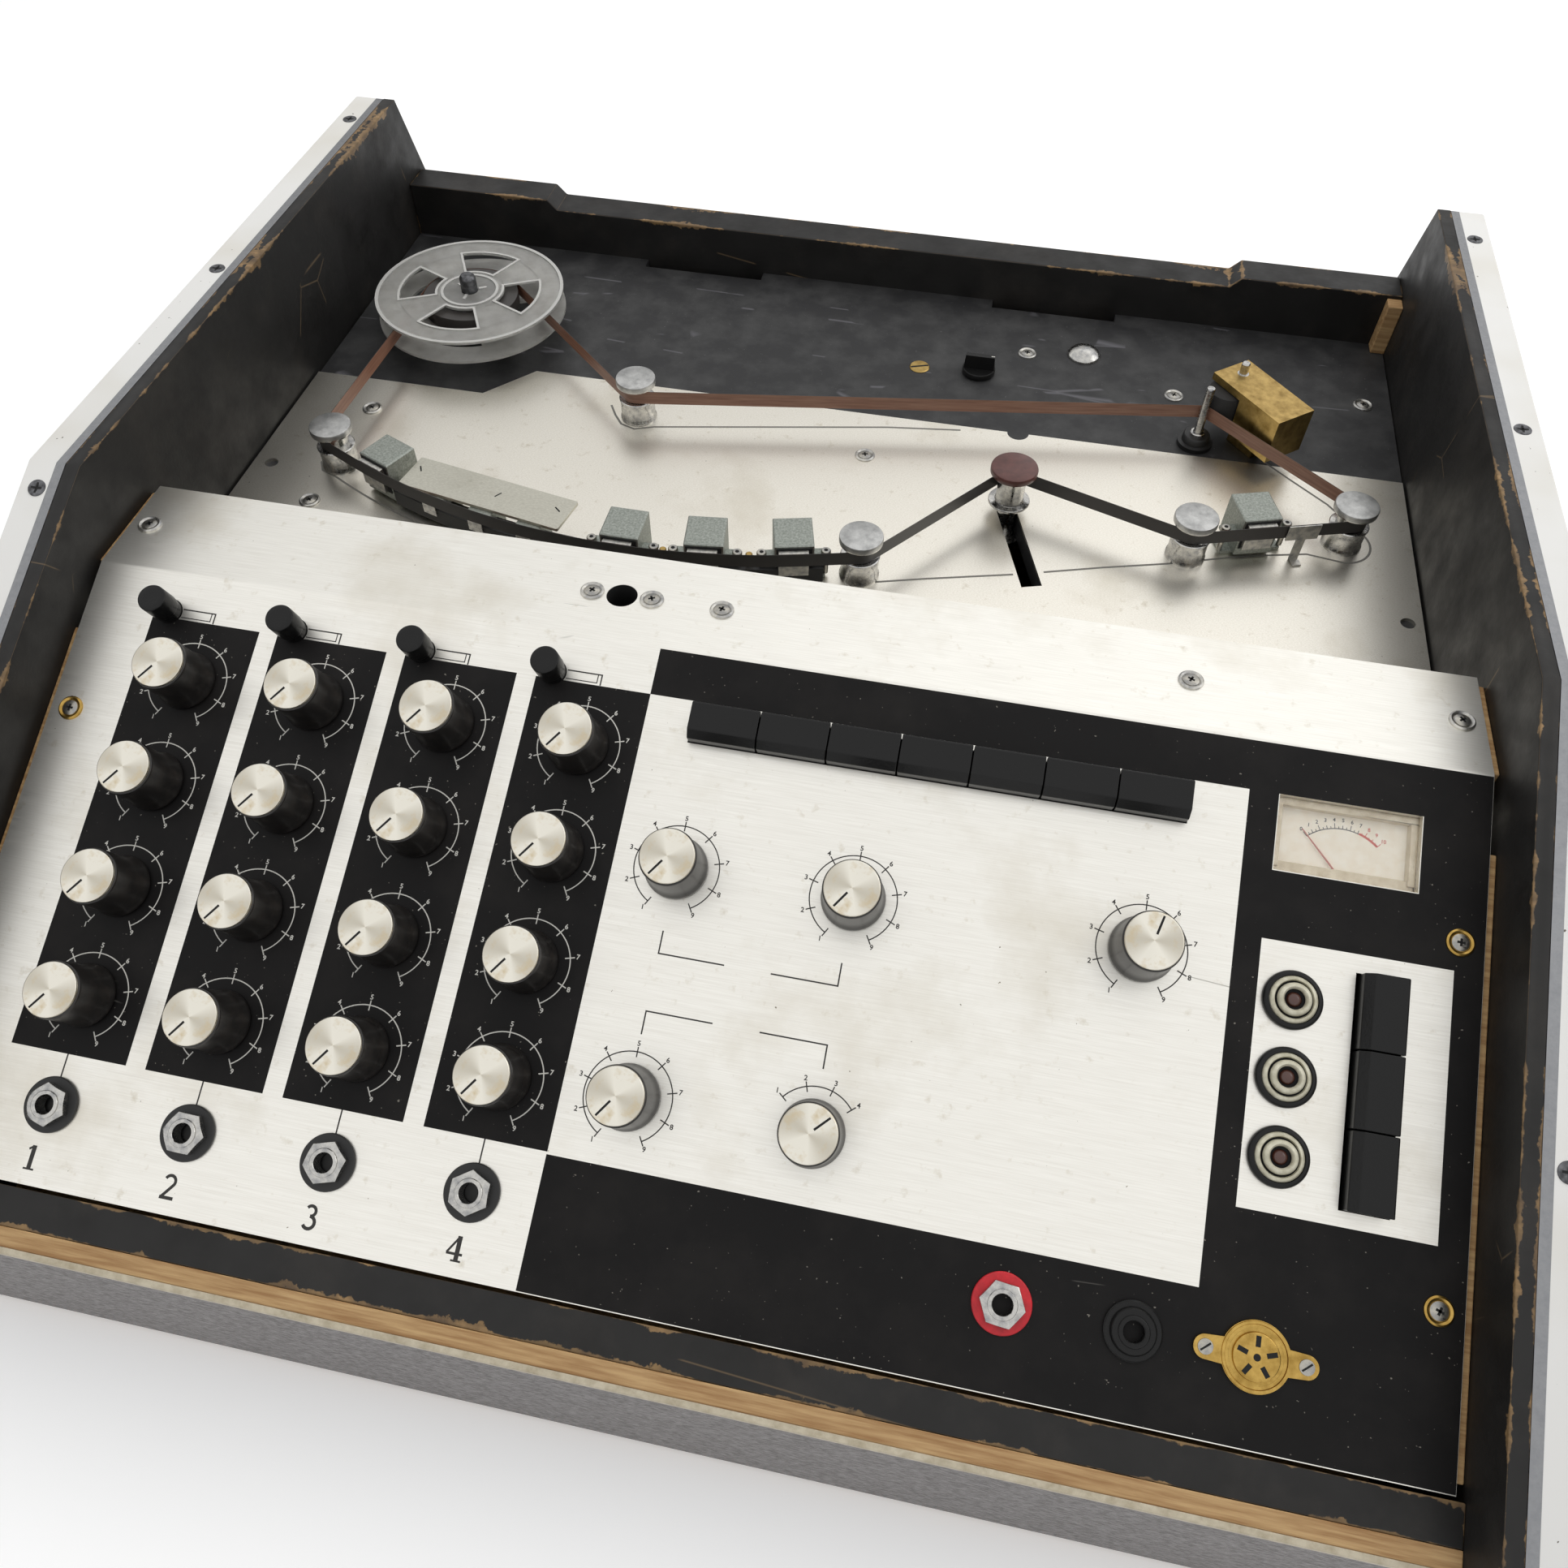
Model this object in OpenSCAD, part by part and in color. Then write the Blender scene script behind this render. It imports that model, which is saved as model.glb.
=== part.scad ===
// Desktop tape echo unit: an open-topped wooden case, a folded control panel and a recessed tape deck.
// Millimetres. The origin is the middle of the footprint at the level of the feet, X to the right,
// Y to the back, Z up. Places on the panel are u (right) and v (up the slope) from the fold line,
// places on the deck are x (right) and y (back) from the fold line, and h is the height above either.

/* [Case] */
// Clear width between the side boards
inner_w = 514; // [490:1:560]
// Thickness of the black side boards
side_t = 6; // [4:0.5:10]
// Thickness of the white outer cheeks
cheek_t = 15; // [10:0.5:24]
// Height of the cheeks' rim above the level strip of the panel
rim_h = 32; // [26:1:40]
// How far behind the fold the rim bends down to follow the panel
kink_in = 15.5; // [8:0.5:30]
// Length of the bevel at the rim's rear end, along the rim
bevel_run = 17.5; // [8:0.5:30]
// Drop of the same bevel
bevel_drop = 44; // [20:1:55]
// Height of the case below the panel's front edge
front_h = 82; // [70:1:110]
// Thickness of the black front board
front_t = 11.6; // [8:0.2:18]
// Thickness of the grey outer front board
fascia_t = 7.8; // [5:0.2:12]
// Clear depth from the fold line to the back board
well_depth = 312.6; // [300:0.2:340]
// Thickness of the back board
back_t = 18; // [12:1:24]
// How far the cheeks reach behind the back board
back_lip = 4.4; // [2:0.2:12]
// Height of the back board's middle above the deck plate
back_rise = 20.6; // [15:0.2:30]
// Extra height of the back board's ends
back_step = 5; // [2:0.5:12]
// Width of each raised end of the back board
back_end_w = 82; // [40:1:120]
// Thickness of the base board
base_t = 9; // [6:1:15]
// Side of the square battens that carry the panel and the deck
batten = 15; // [10:1:18]
// Height of the rubber feet
foot_h = 8; // [5:1:15]
// Diameter of the rubber feet
foot_d = 30; // [20:1:40]
// Distance of the feet's centres from the base board's edges
foot_in = 28; // [22:1:60]

/* [Control panel] */
// Slope of the control panel
slope = 23.3; // [18:0.1:28]
// Length of the sloping face
panel_l = 222; // [216:1:240]
// Depth of the level strip behind the fold
strip_d = 45; // [40:1:55]
// Thickness of the folded sheet
panel_t = 2; // [1.5:0.1:3]
// Outside radius of the fold
bend_r = 3; // [2:0.5:5]
// Gap between the sheet and the boards round it
panel_gap = 3; // [1:0.5:5]
// Distance of the edge screws from the sheet's side edges
edge_screw_in = 7.8; // [6.5:0.1:9]
// Distance of the strip's screws behind the fold
strip_screw_y = 22.5; // [15:0.5:30]
// Diameter of the bare hole in the strip
strip_hole_d = 11.7; // [8:0.1:14]
// Distance of the bare hole to the left of the middle
strip_hole_x = 54.9; // [48:0.1:60]
// Distance between the two screws beside that hole
strip_pair = 23; // [20:0.5:28]

/* [Knobs] */
// Middle of the first channel column, left of the panel's middle
column_x = 205.2; // [203:0.1:208]
// Distance between the channel columns
column_pitch = 50; // [48:0.1:52]
// Distance of the top knob row below the fold
row_v = 41.4; // [40:0.1:45]
// Distance between the knob rows
row_pitch = 38.9; // [36:0.1:40]
// Distance of the upper row of larger dials below the fold
upper_dial_v = 78.6; // [76:0.1:84]
// Distance of the lower row of larger dials below the fold
lower_dial_v = 156.5; // [150:0.1:160]
// Diameter of a knob at its foot
knob_d = 22; // [20:0.5:25]
// Diameter of a knob's metal cap
cap_d = 19; // [16:0.5:20]
// Height of a knob above the panel
knob_h = 16.6; // [14:0.2:20]
// Gap under a knob
knob_lift = 0.8; // [0.5:0.1:1.5]
// Thickness of a knob's metal cap
cap_t = 1.2; // [0.8:0.1:2]
// Diameter of a potentiometer's shaft
shaft_d = 6; // [4:0.5:7]
// Diameter of a potentiometer's threaded bush
bush_d = 9.4; // [8.5:0.1:10]
// Diameter of a potentiometer's body
pot_d = 24; // [16:1:28]
// Depth of a potentiometer's body
pot_h = 10; // [8:1:14]

/* [Buttons and keys] */
// Distance of the round buttons below the fold
mute_v = 15.8; // [14:0.1:17]
// How far left of its column each round button stands
mute_left = 15.5; // [14:0.1:17]
// Diameter of the round buttons
mute_d = 9.4; // [8:0.1:11]
// Height of the round buttons above the panel
mute_h = 11.5; // [9:0.5:14]
// Travel of the round buttons
mute_travel = 3; // [2:0.5:4]
// Middle of the key row, right of the panel's middle
keys_x = 69.7; // [68:0.1:71]
// Middle of the key row below the fold
keys_v = 27; // [26:0.1:28]
// Distance between the keys
key_pitch = 24.75; // [24:0.05:25]
// Depth of a key, across the row
key_w = 13.1; // [12:0.1:14]
// Height of a key above the panel
key_h = 7.8; // [6:0.1:10]
// Width of the bevel along a key's near edge
key_bevel = 3; // [2:0.1:4]
// Gap between neighbouring keys
key_gap = 0.4; // [0.3:0.1:0.8]
// Travel of the keys
key_travel = 4; // [3:0.5:5]
// Middle of the side keys, right of the panel's middle
side_keys_x = 222.5; // [222:0.1:223]
// Middle of the upper side key below the fold
side_keys_v = 86.6; // [84:0.1:90]
// Width of a side key
side_key_w = 15; // [13:0.1:16]

/* [Meter, lamps and sockets] */
// Width of the meter's window
meter_w = 46.5; // [44:0.1:48]
// Height of the meter's window
meter_l = 26.2; // [24:0.1:28]
// Middle of the meter, right of the panel's middle
meter_x = 208.9; // [207:0.1:210]
// Middle of the meter below the fold
meter_v = 31.4; // [30:0.1:33]
// Depth of the meter's housing below the panel
meter_depth = 22; // [18:1:30]
// Depth of the meter's dial below the panel
dial_depth = 7; // [6:0.5:9]
// Diameter of a lamp's outer ring
lamp_d = 19.2; // [17:0.1:21]
// Middle of the lamps, right of the panel's middle
lamp_x = 195.4; // [194:0.1:197]
// Distance of the input jacks below the fold
jack_v = 195.4; // [192:0.1:200]
// Size of a jack's nut across its flats
jack_nut = 12.7; // [11:0.1:14]
// Bore of a jack
jack_bore = 6.4; // [6.35:0.05:6.6]
// Diameter of a jack's washer
jack_washer = 18.8; // [16:0.1:20]
// Places of the output jack, the plain jack and the round socket, right of the panel's middle
socket_x = [117.2, 157.3, 194];
// Diameter of the round socket's flange
socket_d = 21; // [19:0.5:23]
// Distance of the round socket's screws from its middle
socket_screw = 15; // [14:0.5:18]

/* [Tape deck] */
// Drop of the deck plate below the level strip
deck_drop = 35.3; // [32:0.1:40]
// Thickness of the deck plate
plate_t = 1.5; // [1:0.1:2]
// Gap between the deck plate and the side boards
plate_gap = 1; // [0.5:0.1:3]
// Rear edge of the deck plate behind the fold
plate_y = 200.3; // [198:0.1:204]
// Setback of the plate's rear left corner
plate_setback = 22.5; // [15:0.5:30]
// Thickness of the deck board
board_t = 9; // [6:0.5:12]
// Radius of the spindle of each guide post under its cap
post_r = 6; // [5:0.5:7]
// Diameter of a guide post's cap
post_cap_d = 18.4; // [17:0.2:22]
// Height of the guide posts
post_h = 21.4; // [20.8:0.2:24]
// Height of the middle of the tape
tape_h = 14.7; // [14.2:0.1:15.2]
// Width of the tape
tape_w = 6.35; // [6:0.05:6.5]
// Thickness of the tape band
tape_t = 0.3; // [0.2:0.05:0.4]
// Diameter of the reel
reel_d = 92; // [85:0.5:101]
// Place of the reel's middle, x and y
reel_at = [-194, 230.7];
// Radius of the tape wound on the reel
pack_r = 23.3; // [20:0.1:30]
// Gap between the reel's flanges
reel_gap = 8.6; // [8:0.1:10]
// Thickness of a reel flange
flange_t = 1.4; // [1:0.1:2]
// Places of the guide posts, x and y: left, rear, middle front, right front, far right
posts_at = [[-215.9, 113.8], [-93.8, 175.9], [25.4, 90.4], [159.7, 130.9], [225.7, 152.4]];
// How far behind the line from the left post to the middle one the head arc's centre lies
arc_behind = 254.2; // [220:0.1:300]

/* [Sliding post] */
// Place of the sliding post at the rear end of its slot, x and y
slider_at = [82.6, 143.6];
// Direction of the slot, degrees from +X
slot_dir = -72.2; // [-80:0.1:-65]
// Travel of the sliding post
slider_travel = 43; // [30:1:44]
// Width of the slot
slot_w = 8.8; // [8:0.1:10]
// Height of the sliding post
slider_h = 24.4; // [23.6:0.2:28]
// Diameter of the sliding post's cap
slider_cap_d = 20.4; // [20:0.2:26]

/* [Capstan and pinch block] */
// Place of the capstan, x and y
capstan_at = [163.7, 211.6];
// Diameter of the capstan
capstan_d = 4; // [3:0.1:5]
// Height of the capstan
capstan_h = 28.8; // [26:0.2:32]
// Direction of the pinch block's long side, degrees from +X
block_dir = -50; // [-53:0.1:-44]
// Length of the pinch block
block_l = 43; // [42:1:46]
// Width of the pinch block
block_w = 20.4; // [20:0.2:26]
// Height of the pinch block's top
block_h = 28.5; // [27.5:0.5:32]
// Height of the pinch block's underside
block_low = 7.5; // [7:0.1:7.8]
// Diameter of the pinch roller
roller_d = 18; // [14:0.5:19]
// Gap between the roller and the capstan, which the tape passes
nip = 0.95; // [0.7:0.05:1.2]
// Travel of the pinch block
pinch_travel = 4; // [3:0.5:6]
// Place of the release knob, x and y
release_at = [59.2, 247];

/* [Fits] */
// Radial running clearance of a shaft in its bore
run_fit = 0.05; // [0.02:0.01:0.09]
// Clearance round a moving piece that isn't guided there
free_fit = 0.3; // [0.3:0.05:0.5]

/* [Hidden] */
$fn = 48;
eps = 0.01;
// Deck and panel for which the places on them are given
drawn_deck_w = 514;
drawn_deck_d = 312.6;
drawn_panel_w = 508;
drawn_panel_l = 222;
rows = ["echo", "treble", "bass", "gain"];
channels = [1, 2, 3, 4];

// Case, worked out from the driving sizes
front_run = panel_l * cos(slope) + panel_gap / 3 + front_t + fascia_t;
case_d = front_run + well_depth + back_t + back_lip;
front_y = -case_d / 2;
rear_y = case_d / 2;
fold_y = front_y + front_run;
fold_z = foot_h + front_h + panel_l * sin(slope);
back_y = fold_y + well_depth;
rim_z = fold_z + rim_h;
kink_y = fold_y + kink_in;
deck_z = fold_z - deck_drop;
deck_across = inner_w / drawn_deck_w;
deck_along = well_depth / drawn_deck_d;
board_z = deck_z - plate_t;
base_z = foot_h + base_t;
half_w = inner_w / 2;
panel_half = half_w - panel_gap;

// Panel
key_step = key_pitch * 2 * panel_half / drawn_panel_w;
side_step = key_pitch * panel_l / drawn_panel_l;
key_deep = 6;
key_count = 7;
side_key_count = 3;
switch_wall = 2.5;
recess_r = 8.2;
nut_h = 2.4;
edge_screw_v = [58.6, 172];
strip_screw_x = [-16.6, 154];
cup_r = 4.6;
screw_r = 2;
lamp_hole_r = 7.5;
needle_l = 20;
needle_rest = -42;
pivot_drop = 11;
glass_t = 1;
screw_deep = 6;

// Deck
board_deep = deck_drop + plate_t;
corner_x = -152.4;
corner_end_x = -172;
block_slot = 18.7;
arm_t = 3.5;
roller_gap = 0.5;
roller_along = 12.4;
roller_out = 7.5;
spindle_rise = 8;
flange_r = 8.5;
tongue = [16, 7];
head_gap = 0.15;
arc_press = 0.8;
box_head = [16.4, 19.6, 20];
box_head_x = [-71.9, -36.4, 0.4];
first_head = [16.8, 18.6, 20];
first_head_x = -190;
cover_ends = [[-175.5, 89], [-99.7, 74.4]];
cover_w = 19;
cover_top = 15.5;
cover_t = 1.5;
small_head = [11, 14, cover_top - cover_t];
small_head_x = [-160, -137, -114];
rear_notch = [[-126.4, -63], [59.9, 123.2]];
rear_notch_d = 7;
motor_r = 34;
motor_l = 42;
wheel_r = 14;
wheel_t = 4;
wheel_gap = 4;
board_size = [300, 130, 1.6];
board_in = 60;
board_lift = 8;
supply = [72, 60, 54];
supply_in = 90;

// Small fittings on the deck: x and y
plate_screws = [[-218.8, 155.3], [-219.5, 86.8], [15.2, 169]];
board_screws = [[81.5, 267.7], [153.9, 247.2], [243.3, 258.6]];
plate_holes = [[-247.6, 108], [249.7, 108]];
adjuster_at = [30.3, 245.2];
dome_at = [109.4, 272.6];
cheek_screw_y = [-180, -50, 95, 237];

function panel_plane(y) = fold_z + (y - fold_y) * tan(slope);
function rim_at(y) = y > kink_y ? rim_z : rim_z - (kink_y - y) * tan(slope);
posts = [for (p = posts_at) [p[0] * deck_across, p[1] * deck_along]];
slider = [slider_at[0] * deck_across, slider_at[1] * deck_along];
shaft = [capstan_at[0] * deck_across, capstan_at[1] * deck_along];
spool = [reel_at[0] * deck_across, reel_at[1] * deck_along];
release = [release_at[0] * deck_across, release_at[1] * deck_along];
chord = posts[2] - posts[0];
arc_at = (posts[0] + posts[2]) / 2 + arc_behind * [-chord[1], chord[0]] / norm(chord);
arc_r = norm(posts[0] - arc_at) + post_r + head_gap + tape_t / 2 - arc_press;
function side_profile() = [
    [front_y, foot_h],
    [rear_y, foot_h],
    [rear_y, rim_z - bevel_drop],
    [rear_y - bevel_run, rim_z],
    [kink_y, rim_z],
    [front_y, rim_at(front_y)]
];
// Places given for the drawn panel and deck, moved to where they are on this one
across = 2 * panel_half / drawn_panel_w;
along = panel_l / drawn_panel_l;
function spread(p) = [p[0] * deck_across, p[1] * deck_along];

// Places something in panel coordinates
module at_panel(u, v, h = 0) {
    translate([0, fold_y, fold_z]) rotate([slope, 0, 0]) translate([u, v, h]) children();
}

// Places something at one of the panel's given places
module on_panel(u, v, h = 0) {
    at_panel(u * across, v * along, h) children();
}

// Places something on the deck, h above the deck plate
module at_deck(p, h = 0) {
    translate([p[0], fold_y + p[1], deck_z + h]) children();
}

// Places something on the level strip
module at_strip(x, y, h = 0) {
    translate([x, fold_y + y, fold_z + h]) children();
}

// Places something at the tape's arc, its +Y pointing away from the tape
module at_arc(x, h = 0) {
    at_deck(arc_at, h) rotate([0, 0, asin((x - arc_at[0]) / arc_r)]) translate([0, -arc_r, 0]) children();
}

// Extrudes a (y, z) outline along X
module along_x(x0, x1, points) {
    translate([x0, 0, 0]) rotate([90, 0, 90]) linear_extrude(x1 - x0) polygon(points);
}

module both_sides() {
    children();
    mirror([1, 0, 0]) children();
}

module rod(r, h0, h1) {
    translate([0, 0, h0]) cylinder(r = r, h = h1 - h0);
}

module block(size, h0, h1) {
    translate([-size[0] / 2, -size[1] / 2, h0]) cube([size[0], size[1], h1 - h0]);
}

module hexagon(flats, h0, h1) {
    translate([0, 0, h0]) cylinder(d = flats / cos(30), h = h1 - h0, $fn = 6);
}

// ---- Case ----

module base_board() {
    y0 = front_y + fascia_t + front_t;
    color("#b08d5e") translate([-half_w, y0, foot_h]) cube([inner_w, back_y - y0, base_t]);
}

module rubber_feet() {
    y0 = front_y + fascia_t + front_t + foot_in;
    color("#202020") both_sides() for (y = [y0, back_y - foot_in])
        translate([half_w - foot_in, y, 0]) rotate_extrude()
            polygon([[0, 0], [foot_d / 2 - 3, 0], [foot_d / 2, foot_h], [0, foot_h]]);
}

// A board across the front, its top cut along the panel's plane
module front_board(y0, t) {
    along_x(-half_w, half_w, [
        [y0, foot_h],
        [y0 + t, foot_h],
        [y0 + t, panel_plane(y0 + t)],
        [y0, panel_plane(y0)]
    ]);
}

module back_board() {
    top = deck_z + back_rise;
    inner = half_w - back_end_w;
    translate([0, back_y + back_t, 0]) rotate([90, 0, 0]) linear_extrude(back_t) polygon([
        [-half_w, foot_h], [half_w, foot_h], [half_w, top + back_step], [inner + back_step, top + back_step],
        [inner, top], [-inner, top], [-inner - back_step, top + back_step], [-half_w, top + back_step]
    ]);
}

module battens() {
    both_sides() {
        // Under the sloping face
        at_panel(half_w - batten, 0)
            translate([0, -panel_l + panel_gap, -panel_t - batten]) cube([batten, panel_l - 30, batten]);
        // Under the level strip
        at_strip(half_w - batten, 2, -panel_t - batten) cube([batten, strip_d - 4, batten]);
        // Under the deck
        translate([half_w - batten, fold_y + 3, board_z - board_t - batten])
            cube([batten, well_depth - 3, batten]);
    }
}

module inner_boards() {
    color("#1d1c1b") {
        both_sides() along_x(half_w, half_w + side_t, side_profile());
        front_board(front_y + fascia_t, front_t);
        back_board();
        difference() {
            battens();
            for (s = [-1, 1]) {
                for (v = edge_screw_v) at_panel(s * (panel_half - edge_screw_in), -v) screw_hole();
                at_strip(s * (panel_half - edge_screw_in), strip_screw_y) screw_hole();
            }
        }
    }
}

module screw_hole() {
    rod(screw_r, -screw_deep, 0);
}

module side_cheeks() {
    color("#eeedea") both_sides()
        along_x(half_w + side_t, half_w + side_t + cheek_t, side_profile());
}

module front_fascia() {
    color("#77757a") front_board(front_y, fascia_t);
}

// ---- Control panel ----

function panel_outline() =
    let (
        k = tan(slope / 2),
        steps = 6,
        bend = [for (i = [0 : steps])
            let (a = slope * (1 - i / steps)) [bend_r * k - bend_r * sin(a), bend_r * cos(a) - bend_r]],
        foot = [-panel_l * cos(slope), -panel_l * sin(slope)]
    )
    concat(
        [foot],
        bend,
        [[strip_d, 0], [strip_d, -panel_t], [panel_t * k, -panel_t]],
        [foot + panel_t * [sin(slope), -cos(slope)]]
    );

// Names of the larger dials: place and the angle their pointer rests at, clockwise from up the slope
dials = [
    ["swell_knob", -11.4, -upper_dial_v, -135],
    ["sustain_knob", 50.2, -upper_dial_v, -135],
    ["master_knob", 146.5, -upper_dial_v, 15],
    ["reverb_volume_knob", -11.4, -lower_dial_v, -135],
    ["reverb_dimension_knob", 50.2, -lower_dial_v, 45]
];
function column_u(c) = -column_x + (c - 1) * column_pitch;
function row_at(r) = -row_v - r * row_pitch;
function mute_u(c) = column_u(c) - mute_left;
function key_u(i) = keys_x + (i - (key_count + 1) / 2) * key_pitch;
function side_key_v(i) = -side_keys_v - (i - 1) * key_pitch;
function pot_places() = concat(
    [for (c = channels) for (r = [0 : 3]) [column_u(c), row_at(r)]],
    [for (d = dials) [d[1], d[2]]]
);
function jack_places() = concat([for (c = channels) column_u(c)], [socket_x[0]]);

module through(r) {
    translate([0, 0, -panel_t * 2]) cylinder(r = r, h = panel_t * 4);
}

module panel_cuts() {
    for (p = pot_places()) on_panel(p[0], p[1]) through(bush_d / 2 + free_fit / 3);
    for (c = channels) on_panel(mute_u(c), -mute_v) through(mute_d / 2 + free_fit);
    for (u = jack_places()) on_panel(u, -jack_v) through(bush_d / 2 + free_fit / 3);
    on_panel(socket_x[1], -jack_v) through(bush_d / 2 + free_fit / 3);
    on_panel(socket_x[2], -jack_v) through(socket_d / 2 - 2);
    for (i = [1 : side_key_count]) on_panel(lamp_x, side_key_v(i)) through(lamp_hole_r + free_fit / 3);
    on_panel(keys_x, -keys_v)
        block([key_count * key_step - key_gap + 2 * free_fit, key_w + 2 * free_fit], -2 * panel_t, panel_t);
    on_panel(side_keys_x, side_key_v(2))
        block([side_key_w + 2 * free_fit, side_key_count * side_step - key_gap + 2 * free_fit],
            -2 * panel_t, panel_t);
    on_panel(meter_x, -meter_v) block([meter_w, meter_l], -2 * panel_t, panel_t);
    for (s = [-1, 1]) {
        for (v = edge_screw_v) at_panel(s * (panel_half - edge_screw_in), -v) through(screw_r + free_fit);
        at_strip(s * (panel_half - edge_screw_in), strip_screw_y) through(screw_r + free_fit);
        at_strip(-strip_hole_x + s * strip_pair / 2, strip_screw_y) through(screw_r + free_fit);
    }
    for (x = strip_screw_x) at_strip(x, strip_screw_y) through(screw_r + free_fit);
    at_strip(-strip_hole_x, strip_screw_y) through(strip_hole_d / 2);
}

module control_panel() {
    color("#c9c8c3") difference() {
        translate([0, fold_y, fold_z]) along_x(-panel_half, panel_half, panel_outline());
        panel_cuts();
    }
}

// Potentiometer with its bush and nut through the panel
module pot() {
    difference() {
        union() {
            rod(pot_d / 2, -panel_t - pot_h, -panel_t);
            rod(bush_d / 2, -panel_t - eps, nut_h + 1.6);
            rod(recess_r - 1.2, 0, 0.5);
            hexagon(bush_d * 1.35, 0.5 - eps, nut_h + 0.5);
        }
        rod(shaft_d / 2 + run_fit, -panel_t - pot_h + 1, nut_h + 2);
    }
}

// Guide of a round button under the panel
module button_switch() {
    difference() {
        block([mute_d + 4, mute_d + 4], -panel_t - 16, -panel_t);
        rod(mute_d / 2 + run_fit, -panel_t - 14, 0);
    }
}

// Open-topped channel under a bank of keys, with a bore for each key's stem
module key_bank(count, step, w) {
    l = count * step - key_gap;
    bottom = -panel_t - key_deep - key_travel - 1;
    difference() {
        block([l + 2 * (free_fit + switch_wall), w + 2 * (free_fit + switch_wall)], bottom - 4, -panel_t);
        block([l + 2 * free_fit, w + 2 * free_fit], bottom, 0);
        for (i = [1 : count])
            translate([(i - (count + 1) / 2) * step, 0, 0]) rod(3 + run_fit, bottom - 5, bottom + 1);
    }
}

module pots_and_switches() {
    color("#8d8f90") {
        for (p = pot_places()) on_panel(p[0], p[1]) pot();
        for (c = channels) on_panel(mute_u(c), -mute_v) button_switch();
        on_panel(keys_x, -keys_v) key_bank(key_count, key_step, key_w);
        on_panel(side_keys_x, side_key_v(2)) rotate([0, 0, 90]) key_bank(side_key_count, side_step, side_key_w);
    }
}

// Flared black moulding with its shaft, and a spun metal cap with a pointer groove
module knob(angle) {
    r = knob_d / 2;
    rc = cap_d / 2;
    top = knob_h - cap_t;
    rotate([0, 0, -angle]) {
        difference() {
            rotate_extrude() polygon([
                [0, knob_lift + nut_h + 3], [recess_r, knob_lift + nut_h + 3], [recess_r, knob_lift],
                [r - 0.4, knob_lift], [r, knob_lift + 0.5], [r - 0.1, knob_lift + 1.2],
                [rc + 0.5, knob_lift + 3.6], [rc + 0.3, top - 0.6], [rc - 0.2, top], [0, top]
            ]);
        }
        rod(shaft_d / 2, -panel_t - pot_h + 1.5, knob_lift + nut_h + 3 + eps);
        difference() {
            rotate_extrude() polygon([[0, top], [rc, top], [rc, knob_h - 0.4], [rc - 0.4, knob_h], [0, knob_h]]);
            translate([-0.45, 1, knob_h - 0.4]) cube([0.9, rc, 1]);
        }
    }
}

module knob_at(u, v, angle) {
    color("#2b2a29") on_panel(u, v) knob(angle);
}

module mute_button(c) {
    r = mute_d / 2;
    color("#161616") on_panel(mute_u(c), -mute_v) rotate_extrude()
        polygon([[0, -12], [r, -12], [r, mute_h - 0.8], [r - 0.8, mute_h], [0, mute_h]]);
}

// Push key: a bar with a bevel along its near edge, and a stem below
module key_bar(step, w) {
    l = step - key_gap;
    translate([l / 2, 0, 0]) rotate([90, 0, -90]) linear_extrude(l) polygon([
        [-w / 2, -key_deep], [w / 2, -key_deep], [w / 2, key_h - 3.2],
        [w / 2 - key_bevel, key_h], [-w / 2 + 0.6, key_h], [-w / 2, key_h - 0.6]
    ]);
    rod(3, -panel_t - key_deep - key_travel - 4.5, -key_deep + eps);
}

module effect_key(i) {
    color("#1a1a1a") on_panel(key_u(i), -keys_v) key_bar(key_step, key_w);
}

module side_key(i) {
    color("#1a1a1a") on_panel(side_keys_x, side_key_v(i)) rotate([0, 0, -90]) key_bar(side_step, side_key_w);
}

// ---- Meter, lamps and sockets ----

module vu_meter() {
    wall = 2;
    on_panel(meter_x, -meter_v) {
        color("#d8d0b4") difference() {
            block([meter_w + 2 * wall, meter_l + 2 * wall], -meter_depth, -panel_t);
            block([meter_w, meter_l], -dial_depth, 0);
        }
        color("#888888") translate([0, -pivot_drop, 0]) rod(0.8, -dial_depth - eps, -dial_depth + 2);
        color("#dfe6e6") block([meter_w - 2 * eps, meter_l - 2 * eps], -panel_t - glass_t, -panel_t);
    }
}

module meter_needle() {
    color("#b03020") on_panel(meter_x, -meter_v) translate([0, -pivot_drop, 0]) rotate([0, 0, -needle_rest]) {
        difference() {
            union() {
                rod(2, -dial_depth + 0.5, -dial_depth + 1.7);
                translate([-0.3, 0, -dial_depth + 0.8]) cube([0.6, needle_l, 0.6]);
            }
            rod(0.8 + run_fit, -dial_depth, -dial_depth + 3);
        }
    }
}

module lamp() {
    r = lamp_d / 2;
    color("#1b1b1b") difference() {
        rotate_extrude() polygon([
            [0, -22], [lamp_hole_r, -22], [lamp_hole_r, 0], [r, 0], [r, 1.4], [r - 1.2, 2.4], [0, 2.4]
        ]);
        rod(lamp_hole_r - 0.8, -4, 3);
    }
    color("#b9b4a6") rotate_extrude() polygon([
        [4.4, -4], [lamp_hole_r - 0.8, -4], [lamp_hole_r - 0.8, 3.4], [lamp_hole_r - 2, 4.4], [5, 4.4], [4.4, 3.4]
    ]);
    color("#6b3a2c") rotate_extrude() polygon([
        [0, -4], [4.4, -4], [4.4, 3.2], [3.4, 4.3], [1.8, 4.9], [0, 5]
    ]);
}

module lamps() {
    for (i = [1 : side_key_count]) on_panel(lamp_x, side_key_v(i)) lamp();
}

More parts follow.
